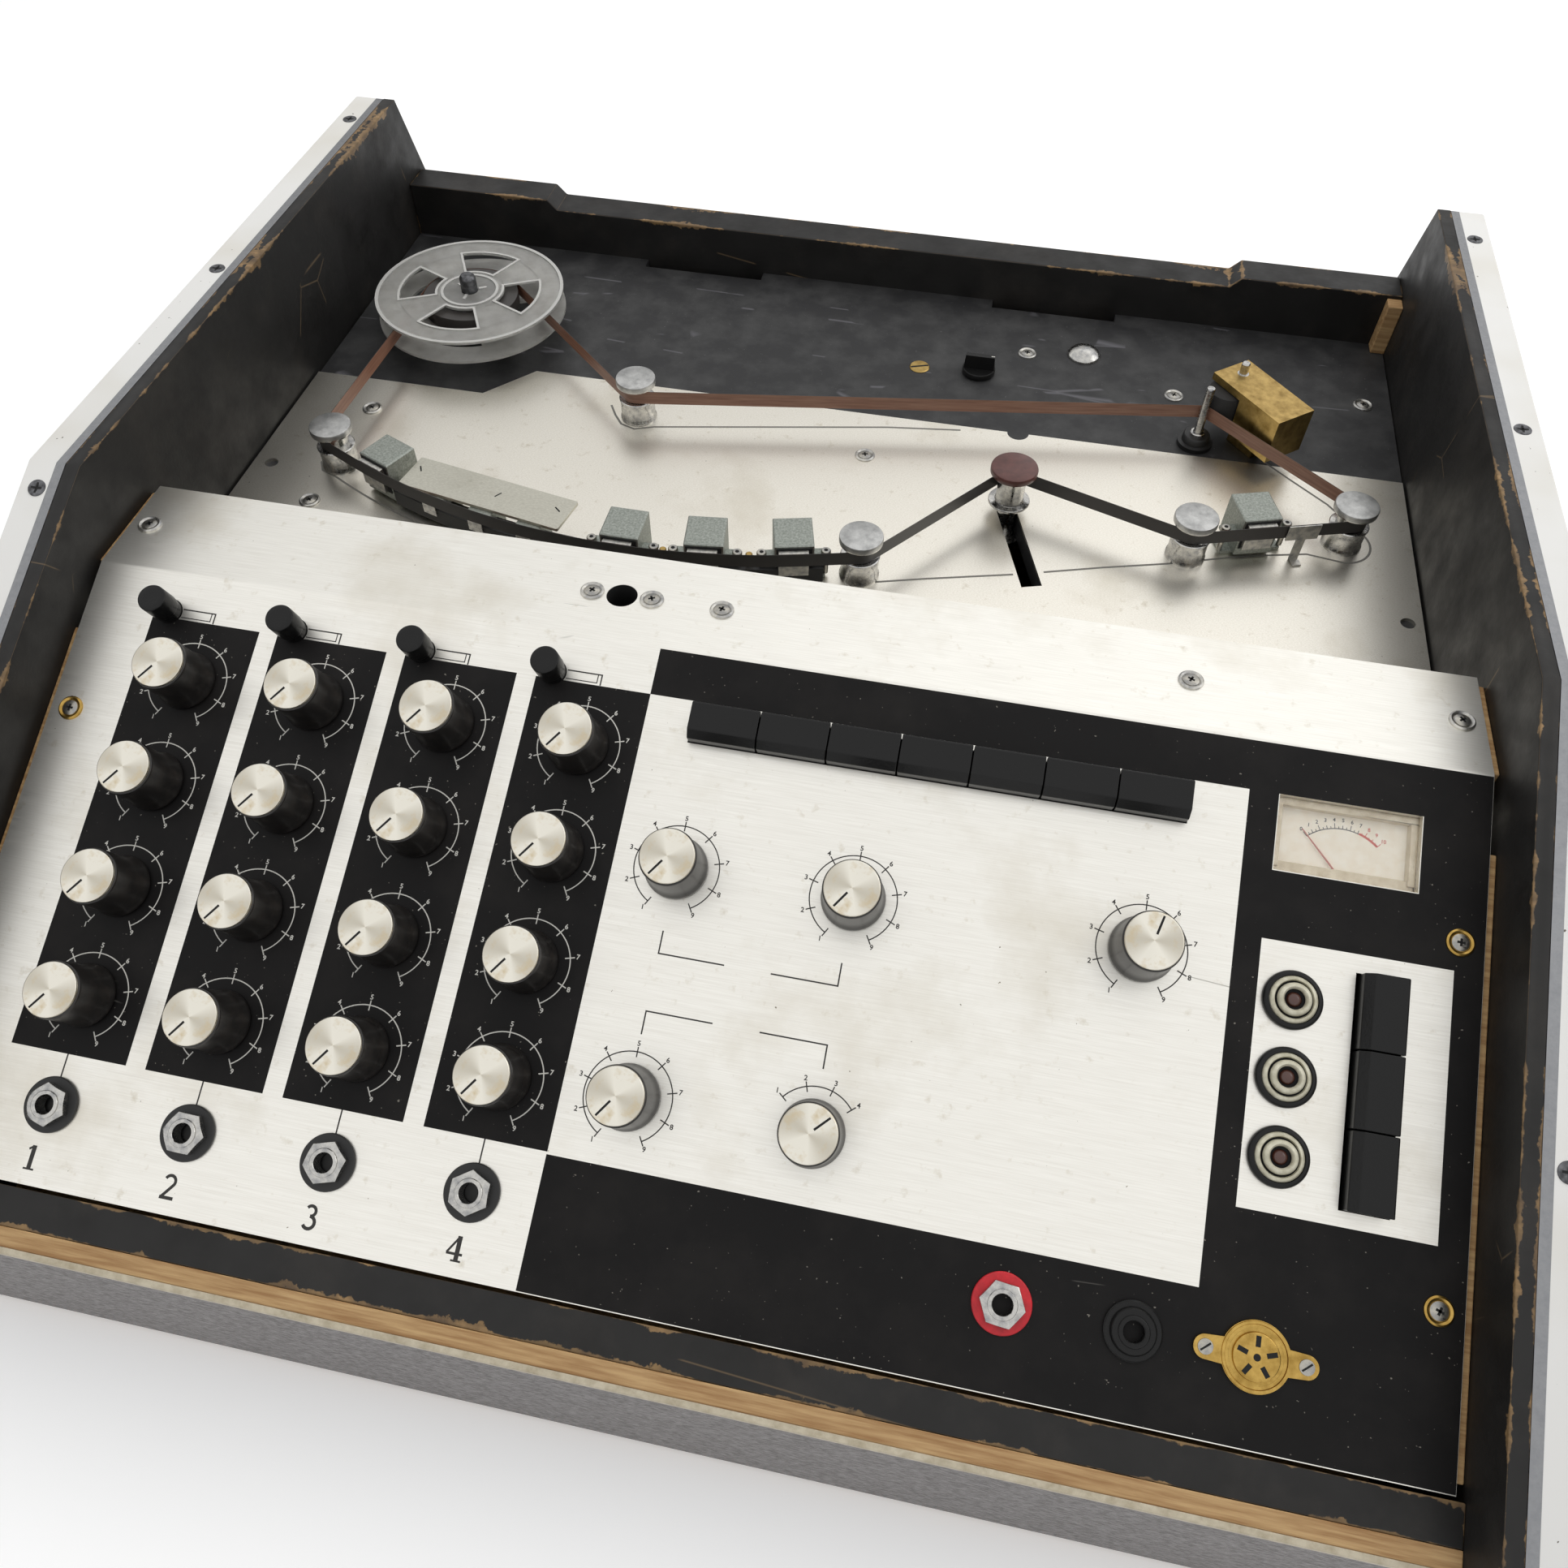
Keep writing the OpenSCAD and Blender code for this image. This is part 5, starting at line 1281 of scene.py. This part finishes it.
class EchoDeck(bpy.types.Operator):
    """Deck board, deck plate and the lines printed on it along the tape's path"""

    bl_idname = "echo.deck"
    bl_label = "Deck"

    def execute(self, context):
        for node, finish in (
            ("deck_board", "deck paint"),
            ("deck_plate", "deck sheet"),
            ("drive_motor", "dark steel"),
            ("electronics", "board"),
        ):
            dress(node, finish)
        # The line is broken where the slot runs through it
        ends = [arc_angle(x) - 90 for x in (-214.0, 24.0)]
        to_slot = [(-224.5, 119), (-225.5, 113), (-222.5, 107.5)] + arc(*ARC_AT, ARC_R + 2.0, *ends, 40)
        to_slot += [(31, 86.5), (54, 93.6), (89, 103.6)]
        past_slot = [(101.5, 107.7), (126, 115.8), (152.5, 123.8), (185, 135.6), (211, 142.3)]
        past_slot += arc(*POSTS[4], 12.5, -85, 30, 14) + [(221.6, 177.8), (204.3, 193.6), (194.5, 203)]
        behind = [(-109, 181.5), (-105, 174.5), (-100.5, 168.5), (-93.5, 166), (-84.7, 169.5)]
        behind += [(22, 192), (56, 197)]
        line = Shape(DECK)
        for path in (to_slot, past_slot, behind):
            line.ribbon(path, 1.0, LINE_Z, "line print")
        line.piece("deck_printing", slot="deck_sheet")
        return {"FINISHED"}


class EchoGuides(bpy.types.Operator):
    """Guide posts with their discs, and the reel's spindle"""

    bl_idname = "echo.guides"
    bl_label = "Guide posts"

    def execute(self, context):
        post = Shape()
        foot = [(0, -5), (2, -5), (2, 0), (8.4, 0), (8.4, 1.2), (7.9, 1.8), (7.9, 9.6), (8.3, 10.2)]
        foot += [(8.3, 10.9), (8.0, 11.2), (6, 11.3), (6, 18.1)]
        post.lathe(foot, "nickel", steps=56)
        post.lathe([(6, 18.1), (8.8, 18.15), (9.1, 18.3), (9.15, 18.9)], "nickel", steps=56)
        post.lathe([(9.15, 18.9), (9.15, 20.6), (8.95, 21.1), (8.5, 21.3), (0, 21.3)], "post cap", steps=56)
        mesh = post.mesh("guide_post", smooth=40)
        for i, (x, y) in enumerate(POSTS):
            put(mesh, f"guide_post_{i + 1}", "case", ["tape_guides"], on(DECK, x, y, 50 * i))
        profile = [(0, -9.5), (5, -9.5), (5, -1.5), (9, -1.5), (9, 8.6), (4, 8.65), (4, 26.2), (3.7, 27.2)]
        profile += [(2.9, 28.1), (1.2, 28.35), (0, 28.38)]
        spindle = Shape(on(DECK, *SPOOL)).lathe(profile, "dark steel", steps=40)
        spindle.piece("reel_spindle", slot="guide_steel", replaces=["tape_guides"], smooth=40)
        return {"FINISHED"}


class EchoHeads(bpy.types.Operator):
    """Magnetic heads: cast shells with a pole face towards the tape, their rail, pads and cover plate"""

    bl_idname = "echo.heads"
    bl_label = "Heads"

    def execute(self, context):
        def head(name, w, d, h, foot, ears):
            """A crisp shell, its nose let into the front, and adjusting screws in its ears or its foot."""
            made = Shape()
            front, half, nose = 0.3, w / 2, 2.4
            made.block((-half - foot, front + 5, 0), (half + foot, front + 5 + d / 2, 1.7), "casting")
            made.block((-half, front + nose, 1.4), (half, front + d, h - 0.5), "casting")
            outline = [(-half, front + nose), (half, front + nose), (half, front + d), (-half, front + d)]
            made.prism(outline, h - 0.5, h, "casting", shrink=0.5)
            # Near-black slab in the gap behind the nose: painted shade
            made.block((-half + 0.8, front + 2.0, 5), (half - 0.8, front + 2.5, h - 1.2), "bore")
            pole = "satin nickel" if h > 17 else "nickel"
            made.block((-half + 1.6, front, 6.0), (half - nose, front + 2.3, h - 2.0), pole)
            x, y, low, high = half + foot * 0.5, front + 9.5, 1.6, 3.2
            if ears:
                x, y, low, high = half + 5.1, front + 6.6, 1.7, 13.9
            for side in (-1, 1):
                if ears:
                    x0, x1 = sorted((side * (half - 0.2), side * (half + 6.5)))
                    made.block((x0, front + 3.5, 10.4), (x1, front + 10, 12), "casting")
                screw = [(1.2, low), (1.2, high - 2), (2.1, high - 1.9), (2.1, high - 0.5), (1.8, high)]
                # Near-black disc on each screw for its socket: painted shade
                socket = [(1.15, high - 0.3), (1.05, high + 0.02), (0, high + 0.02)]
                made.lathe(screw, "screw", at(side * x, y), 20, close=True)
                made.lathe(socket, "bore", at(side * x, y), 12)
            return made.mesh(name, bevel=0.25, smooth=35, segments=3)

        def place_head(mesh, name, place):
            put(mesh, name, "case", ["tape_heads"], place)

        box = head("box_head_shell", 16.4, 20.2, 20, 5.0, True)
        for i, x in enumerate((-71.9, -36.4, 0.4)):
            place_head(box, f"box_head_{i + 1}", at_arc(x))
        place_head(head("erase_shell", 16.8, 18.6, 20, 3.0, False), "erase_head", at_arc(-190))
        small = head("small_shell", 11, 14, 13.9, 4.0, False)
        for i, x in enumerate((-160, -137, -114)):
            place_head(small, f"covered_head_{i + 1}", at_arc(x))
        # Head between the two right guides, and the plate that keeps the tape on it
        a, b = Vector(POSTS[3]), Vector(POSTS[4])
        middle = on(DECK, *(a + b) / 2, math.degrees(math.atan2(*(b - a).yx)))
        place_head(box, "box_head_4", middle @ at(-6.7, -6.3))
        keeper = Shape(middle)
        for low, high in (
            ((3.4, -7.7, 11.0), (17.4, -7.1, 18.3)),
            ((8.4, -7.7, 0.02), (12.4, -7.1, 11.2)),
            ((8.4, -12, 0.02), (12.4, -7.2, 0.8)),
        ):
            keeper.block(low, high, "satin nickel")
        keeper.piece("tape_keeper", slot="head_metal", replaces=["tape_heads"], bevel=0.12)

        # Black rail that the heads stand on, in two lengths: it makes the dark band below the tape, partly
        # black parts and partly painted shadow
        rail = Shape(DECK)
        steps, front_r, back_r = 12, ARC_R - 0.9, ARC_R - 9.0
        for x0, x1, low, high in ((-180, -95, 2.0, 9.5), (-94, 12, 1.8, 9.0)):
            turns = [arc_angle(x0 + (x1 - x0) * k / steps) - 90 for k in range(steps + 1)]
            outline = [arc(*ARC_AT, front_r, a, a, 1)[0] for a in turns]
            outline += [arc(*ARC_AT, back_r, a, a, 1)[0] for a in turns[::-1]]
            rail.prism(outline, low, high, "soft black")
        rail.piece("head_rail_and_painted_shadow", slot="head_metal", replaces=["tape_heads"], bevel=0.25)
        # Springs and pressure pads between the heads
        pads = Shape()
        for x in (-54.1, -18.0):
            pads.block((-1.0, 1.0, 1), (1.0, 3.0, 14.2), "dark steel", at_arc(x))
            profile = [(1.5, 9), (1.5, 13.4), (1.1, 13.8), (0, 13.8)]
            pads.lathe(profile, "brass", at_arc(x) @ at(0, 5.6), steps=20, close=True)
        pads.piece("pressure_pads", slot="head_metal", replaces=["tape_heads"], bevel=0.15)

        # Plate over the first heads, and its screws
        a, b = Vector((-175.5, 89.0)), Vector((-99.7, 74.4))
        half, top = (b - a).length / 2, 15.48
        cover = Shape(on(DECK, *(a + b) / 2, math.degrees(math.atan2(*(b - a).yx))))
        cover.prism(rounded(-half + 0.02, 0.02, half - 0.02, 18.98, 0.8, 3), 14.02, top, "cover sheet")
        for x, y in ((-half + 4.0, 12.0), (5.0, 9.8), (half - 5.8, 11.2)):
            # The countersinks are blackened steel and the slots near black: painted shade round and in each
            # screw
            cup = [(3.4, top - 0.01), (3.3, top + 0.01), (2.9, 15.2), (2.6, 15.0)]
            cover.lathe(cup, "dark steel", at(x, y), 24)
            cover.lathe([(2.6, 15.0), (2.5, top - 0.04), (0, top + 0.01)], "screw", at(x, y), 24)
            cover.block((-1.9, -0.4, 15.2), (1.9, 0.4, top + 0.016), "bore", at(x, y, turn=50 + 3 * x))
        cover.piece("head_cover", slot="head_metal", replaces=["tape_heads"], bevel=0.25)
        return {"FINISHED"}


def heading(a, b):
    """Heading of the straight tape between round things (x, y, r, side). On side 1 the tape turns left."""
    gap = Vector((b[0] - a[0], b[1] - a[1]))
    q = a[2] * a[3] - b[2] * b[3]
    return math.atan2(gap.y, gap.x) + math.asin(q / gap.length)


def touch(wheel, way):
    """Where the tape leaves or meets a round thing when its heading is `way`."""
    x, y, r, side = wheel
    return (x + r * side * math.sin(way), y - r * side * math.cos(way))


def around(wheel, start, end):
    """Points along a round thing between two headings."""
    sweep = (end - start) % (2 * math.pi) if wheel[3] > 0 else -((start - end) % (2 * math.pi))
    steps = max(2, int(abs(sweep) * (wheel[2] ** 0.5) * 4))
    return [touch(wheel, start + sweep * k / steps) for k in range(steps + 1)]


class EchoTape(bpy.types.Operator):
    """The endless tape. In the unit its spans beside the sliding post stretch as the post moves; here the
    piece on the post moves with it and the two spans are left in no body
    """

    bl_idname = "echo.tape"
    bl_label = "Tape"

    def execute(self, context):
        # Radii that the tape runs on, a little over those of the posts
        guide_r, slider_r, capstan_r, reel_r = 6.3, 6.45, 2.45, 23.75
        wheels = {
            "reel": (*SPOOL, reel_r, 1),
            "guide_1": (*POSTS[0], guide_r, 1),
            "heads": (*ARC_AT, ARC_R, 1),
            "guide_3": (*POSTS[2], guide_r, 1),
            "slider": (*SLIDER, slider_r, -1),
            "guide_4": (*POSTS[3], guide_r, 1),
            "guide_5": (*POSTS[4], guide_r, 1),
            "capstan": (*CAPSTAN, capstan_r, 1),
            "guide_2": (*POSTS[1], guide_r, -1),
        }
        names = list(wheels)
        ways = {n: heading(wheels[n], wheels[names[(i + 1) % len(names)]]) for i, n in enumerate(names)}

        def band(name, path, body="case"):
            """A strip of tape: oxide on the left of its travel, backing on the right and on its edges."""
            right, left = both_edges(path, 0.1, False)
            made, n = Shape(DECK), len(path)
            faces = [[i, i + 1, n + i + 1, n + i] for i in range(n - 1)]
            for edge, finish in ((left, "oxide"), (right, "tape back")):
                made.add([(x, y, z) for z in (TAPE_LOW, TAPE_HIGH) for x, y in edge], faces, finish)
            for z in (TAPE_LOW, TAPE_HIGH):
                made.add([(x, y, z) for edge in (right, left) for x, y in edge], faces, "tape back")
            return made.piece(name, body, "tape_film", ["tape_loop"], smooth=60)

        def run(first, last):
            """The path from where the tape leaves `first` to where it leaves `last`."""
            path, i = [touch(wheels[first], ways[first])], names.index(first)
            while names[i] != last:
                before, i = names[i], (i + 1) % len(names)
                path += around(wheels[names[i]], ways[before], ways[names[i]])
            return path

        turned_round = around(wheels["guide_4"], ways["slider"], ways["guide_4"])
        band("tape_main", turned_round + run("guide_4", "guide_3"))
        band("tape_on_slider", around(wheels["slider"], ways["guide_3"], ways["slider"]), "slider_post")
        spans = (("tape_span_left", "guide_3", "slider"), ("tape_span_right", "slider", "guide_4"))
        for name, first, last in spans:
            a, b = (Vector(touch(wheels[wheel], ways[first])) for wheel in (first, last))
            span = band(name, [tuple(a.lerp(b, k / 24)) for k in range(25)])
            span.parent = None
            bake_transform(span)
        return {"FINISHED"}


class EchoReel(bpy.types.Operator):
    """Moulded reel with four windows in each flange, and the tape wound on it"""

    bl_idname = "echo.reel"
    bl_label = "Reel"

    def execute(self, context):
        outer, inner, rim, bore, core = 34.0, 17.0, 46.0, 4.1, 13.0
        top = 19.9
        reel = Shape()
        for low, high in ((9.05, 10.35), (19.05, top)):
            # Hub disc, outer band, and four spokes between the windows
            reel.ring(inner, bore, low, high, "styrene", steps=96)
            reel.ring(rim, outer, low, high, "styrene", steps=120)
            for k in range(4):
                spoke = arc(0, 0, outer + 0.1, 27 + 90 * k, 65 + 90 * k, 10)
                spoke += arc(0, 0, inner - 0.1, 65 + 90 * k, 27 + 90 * k, 10)
                reel.prism(spoke, low, high, "styrene")
        # Raised rims round the flange and its windows, in the less clear styrene that paints their highlight
        reel.ring(rim, 44.4, top, 20.38, "styrene highlight rim", steps=120)
        reel.ring(14.2, 12.8, top, 20.38, "styrene highlight rim", steps=96)
        for k in range(4):
            window = arc(0, 0, outer + 0.7, -25 + 90 * k, 27 + 90 * k, 16)
            window += arc(0, 0, inner - 0.7, 27 + 90 * k, -25 + 90 * k, 16)
            right, left = both_edges(window, 0.6, True)
            for i in range(len(window)):
                j = (i + 1) % len(window)
                reel.prism([right[i], right[j], left[j], left[i]], top - 0.05, 20.36, "styrene highlight rim")
        reel.ring(core, bore, 10.35, 19.05, "styrene", steps=64)
        for k in range(3):
            reel.block((4.4, -0.7, top - 0.05), (8.4, 0.7, 20.36), "styrene highlight rim", at(turn=120 * k + 30))
        wound = Shape()
        wound.ring(23.3, core + 0.02, TAPE_LOW, TAPE_HIGH, "tape back", steps=96)
        pieces = (("reel", reel, "reel_plastic", 0.15), ("wound_tape", wound, "tape_film", 0.2))
        for name, made, slot, bevel in pieces:
            mesh = made.mesh(name, bevel=bevel)
            put(mesh, f"{name}_dressed", "tape_reel", ["tape_reel"], on(DECK, *SPOOL))
        return {"FINISHED"}


class EchoSlider(bpy.types.Operator):
    """Sliding post with its brown cap and nickel flanges"""

    bl_idname = "echo.slider"
    bl_label = "Sliding post"

    def execute(self, context):
        made = Shape(on(DECK, *SLIDER))
        foot = [(0, -13.3), (9, -13.3), (9, -10.8), (4.1, -10.8), (4.1, 5.4), (8.7, 5.7), (9.05, 6.0)]
        foot += [(9.05, 6.7), (8.8, 7.0), (6.4, 7.3), (6, 8.0), (6, 18.4)]
        made.lathe(foot, "nickel", steps=56)
        made.lathe([(6, 18.4), (6.3, 18.5), (9.2, 20.95)], "nickel", steps=56)
        cap = [(9.2, 20.95), (9.9, 21.3), (10.15, 21.7), (10.15, 23.5), (9.9, 24.1), (9.3, 24.4), (0, 24.35)]
        made.lathe(cap, "brown cap", steps=64)
        made.piece("slider_dressed", "slider_post", "post_metal", ["slider_post"], smooth=40)
        return {"FINISHED"}


class EchoDrive(bpy.types.Operator):
    """Capstan, pinch block of cast brass with its roller, and the release knob"""

    bl_idname = "echo.drive"
    bl_label = "Capstan and pinch block"

    def execute(self, context):
        pin_r, gap, roller_r = 2.0, 0.95, 9.0
        roller_y = pin_r + gap + roller_r
        # The block's middle as seen from the roller, which turns between the ends of its arms
        arm_x, back_y = 12.4, 7.5
        turned_deck = on(DECK, *CAPSTAN, BLOCK_TURN)

        low = corner("capstan", 0, 2) - DECK_Z
        pin = Shape(on(DECK, *CAPSTAN))
        profile = [(0, low), (14, low), (14, low + 4), (pin_r, low + 4)]
        pin.lathe(profile + [(pin_r, 28.0), (1.7, 28.6), (1.2, 28.8), (0, 28.8)], "nickel")
        bush = Shape(on(DECK, *CAPSTAN))
        bush.lathe([(8.0, -1.5), (8.0, 0.6), (6.3, 1.0), (6.0, 3.9), (5.6, 4.3), (3.3, 4.3)], "soft black")
        bush.lathe([(3.3, 4.3), (3.3, 5.2), (3.0, 5.5), (2.2, 5.5)], "nickel")
        bush.piece("capstan_bush", slot="capstan_steel", smooth=40)
        pin.piece("capstan_dressed", "capstan", "capstan_steel", ["capstan"], smooth=40)

        block = Shape()
        # Back part, and the two arms that hold the roller
        block.block((-2.8, -10.2, 7.5), (21.5, 10.2, 28.5), "brass")
        for z0, z1 in ((7.5, 11.0), (25.0, 28.5)):
            block.block((-21.5, -10.2, z0), (-2.7, 10.2, z1), "brass")
        block.lathe([(1.5, 10.9), (1.5, 25.1)], "nickel", at(-arm_x, -back_y), steps=24)
        profile = [(2.6, 28.45), (2.6, 28.53), (1.9, 28.55), (1.9, 33.4), (1.5, 34.0), (0, 34.1)]
        block.lathe(profile, "nickel", at(-14.6, 1.0), steps=28)
        block.block((-8, -3.5, -9.5), (8, 3.5, 7.6), "brass")
        mesh = block.mesh("pinch_block", bevel=0.35, smooth=30)
        place = turned_deck @ at(arm_x, roller_y + back_y)
        put(mesh, "pinch_block_dressed", "pinch_block", ["pinch_block"], place)

        roller = Shape(turned_deck @ at(0, roller_y, turn=-BLOCK_TURN))
        profile = [(1.6, 11.5), (6.5, 11.5), (8.6, 12.1), (roller_r, 13.4)]
        profile += [(roller_r, 22.6), (8.6, 23.9), (6.5, 24.5), (1.6, 24.5)]
        roller.lathe(profile, "rubber", close=True)
        roller.piece("pinch_roller_dressed", "pinch_roller", "roller_rubber", ["pinch_roller"], smooth=40)

        knob = Shape(on(DECK, *RELEASE, z=-1.5))
        profile = [(3, -13), (3, 0.3), (8, 0.3), (8, 2.4), (7.6, 3.0), (0, 3.0)]
        knob.lathe(profile, "key", steps=56, close=True)
        knob.prism([(-7.5, -1.9), (7.5, -1.9), (7.5, 1.9), (-7.5, 1.9)], 2.9, 9.5, "key", shrink=0.5)
        knob.block((5.2, -0.35, 9.3), (7.0, 0.35, 9.52), "bare print")
        knob.piece("release_dressed", "release_knob", "knob_black", ["release_knob"], bevel=0.3)
        return {"FINISHED"}


CAMERA_LENS = 29.115
CAMERA_AT = (0.070895, -0.360655, 0.509146)
CAMERA_TURN = (37.8486, -0.4257, 11.4802)
LAMPS_AIM = Vector((0, -0.05, 0.12))
WHITE = (1, 1, 1, 1)


def stage_sheet(name, corners, finish):
    """A flat sheet of the surroundings, its corners in metres."""
    mesh = bpy.data.meshes.new(name)
    mesh.from_pydata(corners, [], [(0, 1, 2, 3)])
    mesh.materials.append(finish)
    obj = bpy.data.objects.new(name, mesh)
    bpy.context.scene.collection.objects.link(obj)
    return obj


def card_board():
    """Grey card, which shows in metal as a duller patch of the room."""
    board = {"Emission Color": WHITE, "Emission Strength": 0.62}
    return begin("grey_card_board", grey(0.0), 0.9, **board)[0]


def floor_paper():
    """White paper that takes the part's soft shadow, and fades into the white room away from it."""
    paper = {"Emission Color": WHITE, "Emission Strength": 0.25}
    made, tree, shader, place = begin("white_paper", grey(0.9), 0.9, **paper)
    away = add(tree, "ShaderNodeVectorMath", {0: place}, "Value", operation="LENGTH")
    room = add(tree, "ShaderNodeEmission", {"Color": WHITE, "Strength": 1.0}, 0)
    fade = rise(tree, away, 0.5, 2.2)
    both = add(tree, "ShaderNodeMixShader", {0: fade, 1: shader.outputs["BSDF"], 2: room}, 0)
    link(tree, both, next(n for n in tree.nodes if n.type == "OUTPUT_MATERIAL"), "Surface")
    return made


class EchoStage(bpy.types.Operator):
    """White surroundings, lamps and the camera of the photograph"""

    bl_idname = "echo.stage"
    bl_label = "Stage, light and camera"

    def execute(self, context):
        scene = context.scene
        scene.view_settings.view_transform = "Standard"
        scene.use_nodes = False
        stage_sheet("floor", [(-6, -6, 0), (6, -6, 0), (6, 6, 0), (-6, 6, 0)], floor_paper())
        # Grey card behind on the left, seen only in reflections: it gives the metal its darker end
        corners = [(-2.8, 1.6, 0), (0.16, 1.6, 0), (0.16, 1.6, 1.36), (-2.8, 1.6, 1.36)]
        card = stage_sheet("grey_card", corners, card_board())
        card.visible_camera = card.visible_diffuse = card.visible_shadow = card.visible_transmission = False

        world = bpy.data.worlds.new("white_room")
        world.use_nodes = True
        scene.world = world
        tree = world.node_tree
        tree.nodes.clear()
        # White where it is seen by itself, in metal or through clear plastic; plain room light otherwise
        rays = add(tree, "ShaderNodeLightPath").outputs
        by_itself = maths(tree, "MAXIMUM", rays["Is Camera Ray"], rays["Is Glossy Ray"])
        by_itself = maths(tree, "MAXIMUM", by_itself, rays["Is Transmission Ray"])
        room = add(tree, "ShaderNodeBackground", {"Color": linear("#F6F7FA"), "Strength": 0.5}, 0)
        seen = add(tree, "ShaderNodeBackground", {"Color": WHITE, "Strength": 1.0}, 0)
        both = add(tree, "ShaderNodeMixShader", {0: by_itself, 1: room, 2: seen}, 0)
        add(tree, "ShaderNodeOutputWorld", {"Surface": both})

        # A wide soft ceiling, and two windows: the right one throws the knobs' soft shadows to the left
        lamps = [
            ("ceiling", (0.3, 0.72, 1.75), (2.8, 2.9), 27.0, "#FFFEFA"),
            ("window_right", (1.5, 0.45, 1.1), (1.1, 1.1), 4.5, "#FFFFFF"),
            ("window_back", (0.5, 2.0, 2.3), (2.4, 1.2), 3.6, "#FFFFFF"),
        ]
        for name, place, size, power, hex_colour in lamps:
            lamp = bpy.data.lights.new(name, "AREA")
            lamp.shape = "RECTANGLE"
            lamp.size, lamp.size_y = size
            lamp.energy = power
            lamp.color = linear(hex_colour)[:3]
            obj = bpy.data.objects.new(name, lamp)
            scene.collection.objects.link(obj)
            obj.location = place
            # The ceiling light only lights: metal shows the white room and the two windows
            obj.visible_glossy = name != "ceiling"
            if name != "ceiling":
                obj.rotation_euler = (LAMPS_AIM - Vector(place)).to_track_quat("-Z", "Y").to_euler()

        # The camera worked out from the photograph's vanishing points
        camera = bpy.data.cameras.new("photo_camera")
        camera.sensor_width = 36.0
        camera.lens = CAMERA_LENS
        camera.clip_start = 0.01
        camera.clip_end = 100
        obj = bpy.data.objects.new("photo_camera", camera)
        scene.collection.objects.link(obj)
        obj.location = CAMERA_AT
        obj.rotation_euler = [math.radians(a) for a in CAMERA_TURN]
        scene.camera = obj
        return {"FINISHED"}


OPERATORS = [
    EchoCase,
    EchoCheeks,
    EchoFascia,
    EchoFeet,
    EchoPanel,
    EchoKnobs,
    EchoButtons,
    EchoMeter,
    EchoLamps,
    EchoSockets,
    EchoScrews,
    EchoDeck,
    EchoGuides,
    EchoHeads,
    EchoTape,
    EchoReel,
    EchoSlider,
    EchoDrive,
    EchoStage,
]


class EchoSidebar(bpy.types.Panel):
    """Lists the pieces of the tape echo unit"""

    bl_idname = "VIEW3D_PT_tape_echo"
    bl_label = "Tape echo unit"
    bl_space_type = "VIEW_3D"
    bl_region_type = "UI"
    bl_category = "Tape Echo"

    def draw(self, context):
        for group in (context.scene.echo_colours, context.scene.echo_sizes):
            column = self.layout.column()
            for name in group.__annotations__:
                column.prop(group, name)
        for operator in OPERATORS:
            self.layout.operator(operator.bl_idname)


GROUPS = {"echo_colours": EchoColours, "echo_sizes": EchoSizes}


def register():
    for made in [*GROUPS.values(), *OPERATORS, EchoSidebar]:
        bpy.utils.register_class(made)
    for name, group in GROUPS.items():
        setattr(bpy.types.Scene, name, bpy.props.PointerProperty(type=group))


def unregister():
    for name in GROUPS:
        delattr(bpy.types.Scene, name)
    for made in [EchoSidebar, *OPERATORS[::-1], *GROUPS.values()]:
        bpy.utils.unregister_class(made)


def main():
    register()
    for operator in OPERATORS:
        group, name = operator.bl_idname.split(".")
        getattr(getattr(bpy.ops, group), name)()


if __name__ == "__main__":
    main()
